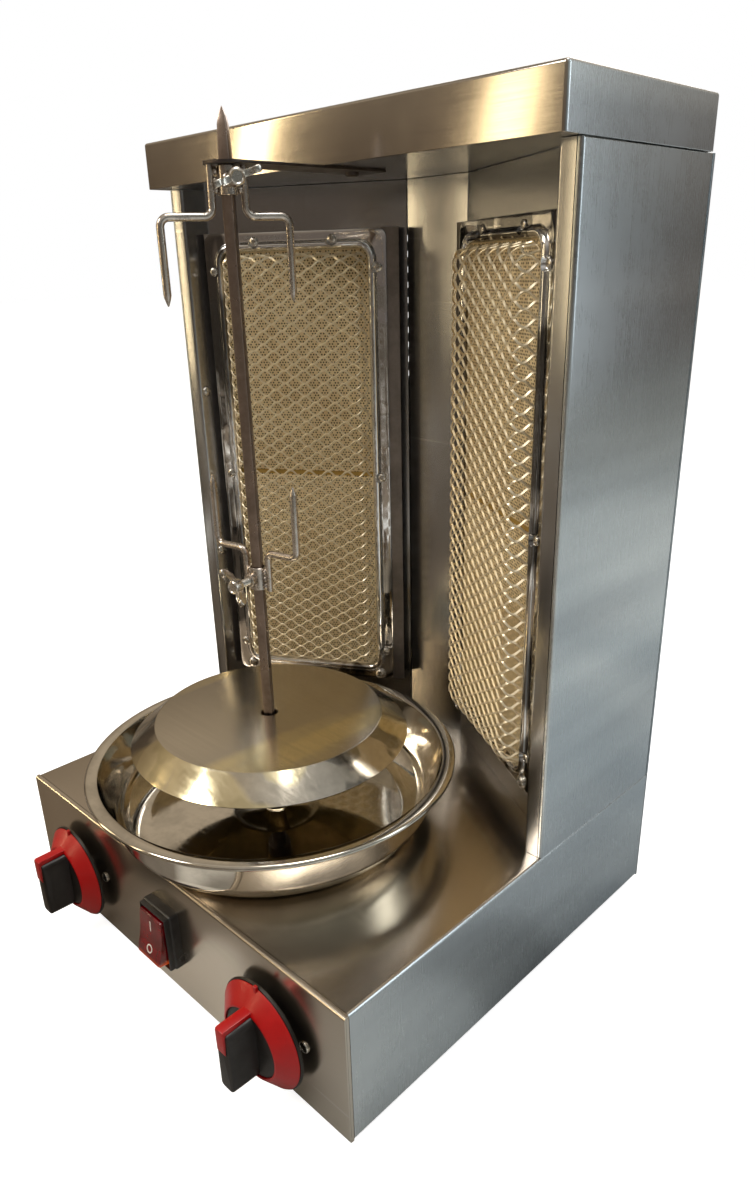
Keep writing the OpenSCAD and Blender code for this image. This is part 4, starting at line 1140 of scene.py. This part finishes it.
# ---------------------------------------------------------------- stage, light, camera
def build_stage():
    """A white floor; in the metal's reflections it is the darker floor of a room."""
    bm = bmesh.new()
    bmesh.ops.create_grid(bm, x_segments=1, y_segments=1, size=12.0)
    me = bpy.data.meshes.new("floor")
    bm.to_mesh(me)
    bm.free()
    floor = bpy.data.objects.new("floor", me)
    bpy.context.scene.collection.objects.link(floor)
    m = Nodes("floor_pale")
    path = m.add("ShaderNodeLightPath")
    # For reflection rays the floor is painted as a room: cooler towards the right and back, with
    # near-black patches, pale patches and pale bands of painted light.
    cool = m.span(m.math("ADD", m.coords_axis("X"), m.coords_axis("Y")), -0.3, 0.5, 0.0, 1.0)
    band = m.noise(m.coords((0.6, 3.4, 1.0), (0, 0, 28)), 1.0, 2.0, 0.5)
    room = m.mix(cool, (0.20, 0.165, 0.13), (0.40, 0.46, 0.51))
    shape = m.noise(m.coords((4.6, 4.6, 1.0), (0, 0, 15)), 1.0, 1.0, 0.4)
    warm = m.math("SUBTRACT", 1.0, cool)
    dark = m.math("MULTIPLY", m.span(shape, 0.40, 0.44, 1.0, 0.0), warm)
    room = m.mix(dark, room, (0.02, 0.018, 0.016))
    room = m.mix(m.span(shape, 0.60, 0.63, 0.0, 1.0), room, (0.86, 0.88, 0.88))
    light = m.math("MULTIPLY", cool, m.span(band, 0.42, 0.58, 0.0, 0.7))
    room = m.mix(light, room, (0.80, 0.85, 0.86))
    camera_ray = path.outputs["Is Camera Ray"]
    m.link(m.mix(camera_ray, room, (0.66, 0.66, 0.655)), m.bsdf.inputs["Base Color"])
    m.set(Roughness=0.9, Specular_IOR_Level=0.1)
    m.link(m.math("MULTIPLY", camera_ray, 0.86), m.bsdf.inputs["Emission Strength"])
    m.set(Emission_Color=(1, 1, 1, 1))
    me.materials.append(m.mat)


def ramp(tree, value, stops):
    """Colours along value, from (position, colour) stops."""
    node = tree.nodes.new("ShaderNodeValToRGB")
    while len(node.color_ramp.elements) < len(stops):
        node.color_ramp.elements.new(0.5)
    for e, (pos, colour) in zip(node.color_ramp.elements, stops):
        e.position, e.color = pos, (*colour, 1)
    tree.links.new(value, node.inputs[0])
    return node.outputs[0]


def build_world():
    """A white backdrop for the camera; a warm room, cooler to the right, for the reflections."""
    world = bpy.data.worlds.new("studio")
    bpy.context.scene.world = world
    world.use_nodes = True
    tree = world.node_tree
    out, back = tree.nodes["World Output"], tree.nodes["Background"]
    coord = tree.nodes.new("ShaderNodeTexCoord")
    xyz = tree.nodes.new("ShaderNodeSeparateXYZ")
    tree.links.new(coord.outputs["Generated"], xyz.inputs[0])
    height = ramp(tree, xyz.outputs["Z"], [(0.0, (0.20, 0.17, 0.15)), (0.10, (0.24, 0.20, 0.17)),
                                           (0.30, (0.42, 0.38, 0.33)), (0.55, (0.80, 0.76, 0.70)),
                                           (0.80, (0.55, 0.54, 0.52)), (1.0, (0.95, 0.95, 0.95))])
    side = ramp(tree, xyz.outputs["X"], [(0.0, (1.0, 0.89, 0.75)), (0.50, (0.97, 0.98, 1.0)),
                                         (1.0, (0.90, 1.08, 1.18))])
    mix = tree.nodes.new("ShaderNodeMix")
    mix.data_type, mix.blend_type = "RGBA", "MULTIPLY"
    mix.inputs[0].default_value = 1.0
    tree.links.new(height, mix.inputs[6])
    tree.links.new(side, mix.inputs[7])
    tree.links.new(mix.outputs[2], back.inputs["Color"])
    back.inputs["Strength"].default_value = 0.62
    plain = tree.nodes.new("ShaderNodeBackground")
    plain.inputs["Color"].default_value = (1, 1, 1, 1)
    path = tree.nodes.new("ShaderNodeLightPath")
    choose = tree.nodes.new("ShaderNodeMixShader")
    tree.links.new(path.outputs["Is Camera Ray"], choose.inputs[0])
    tree.links.new(back.outputs[0], choose.inputs[1])
    tree.links.new(plain.outputs[0], choose.inputs[2])
    tree.links.new(choose.outputs[0], out.inputs["Surface"])


def area(name, loc, target, size, power, color):
    """A soft rectangular light at loc, aimed at target."""
    light = bpy.data.lights.new(name, "AREA")
    light.shape = "RECTANGLE"
    light.size, light.size_y = size
    light.energy = power
    light.color = color
    obj = bpy.data.objects.new(name, light)
    bpy.context.scene.collection.objects.link(obj)
    obj.location = loc
    obj.rotation_euler = (Vector(target) - Vector(loc)).to_track_quat("-Z", "Y").to_euler()


def build_lights():
    middle = (0, 0, 0.2)
    gold = (1.0, 0.80, 0.48)
    area("key_soft", (-0.6, -1.6, 1.7), middle, (0.6, 0.6), 16, (1.0, 0.97, 0.92))
    area("top_soft", (0.3, 0.0, 1.9), middle, (0.7, 0.7), 12, (1.0, 0.98, 0.95))
    area("right_soft", (1.7, 0.9, 0.9), middle, (0.5, 1.2), 6, (0.86, 0.95, 1.0))
    area("gold_left", (-2.1, -1.5, 0.75), (0, 0, 0.4), (0.12, 1.4), 7, gold)
    area("gold_front", (-1.3, -2.4, 0.7), (0, 0, 0.4), (0.22, 1.2), 4.5, gold)
    area("back_soft", (-0.9, 1.6, 1.0), middle, (0.8, 0.8), 8, (1.0, 0.97, 0.93))


def build_camera():
    """A camera where the object was seen from: ahead, to the right and above, turned slightly."""
    yaw, pitch, roll = math.radians(45.351), math.radians(22.352), math.radians(-1.737)
    level = math.cos(pitch)
    fwd = Vector((-math.sin(yaw) * level, math.cos(yaw) * level, -math.sin(pitch)))
    right = fwd.cross(Vector((0, 0, 1))).normalized()
    up = right.cross(fwd)
    cam_right = right * math.cos(roll) + up * math.sin(roll)
    cam_up = up * math.cos(roll) - right * math.sin(roll)
    data = bpy.data.cameras.new("camera")
    cam = bpy.data.objects.new("camera", data)
    bpy.context.scene.collection.objects.link(cam)
    rot = Matrix((cam_right, cam_up, -fwd)).transposed()
    cam.matrix_world = Matrix.Translation(cab(346.0, -183.3, 367.2)) @ rot.to_4x4()
    data.sensor_width = 36.0
    data.lens = 26.22
    data.shift_x = 0.0092
    data.shift_y = 0.0192
    data.clip_start, data.clip_end = 0.01, 50
    data.dof.use_dof = False
    bpy.context.scene.camera = cam


bpy.context.scene.view_settings.view_transform = "Standard"
build_stage()
build_world()
build_lights()
build_camera()
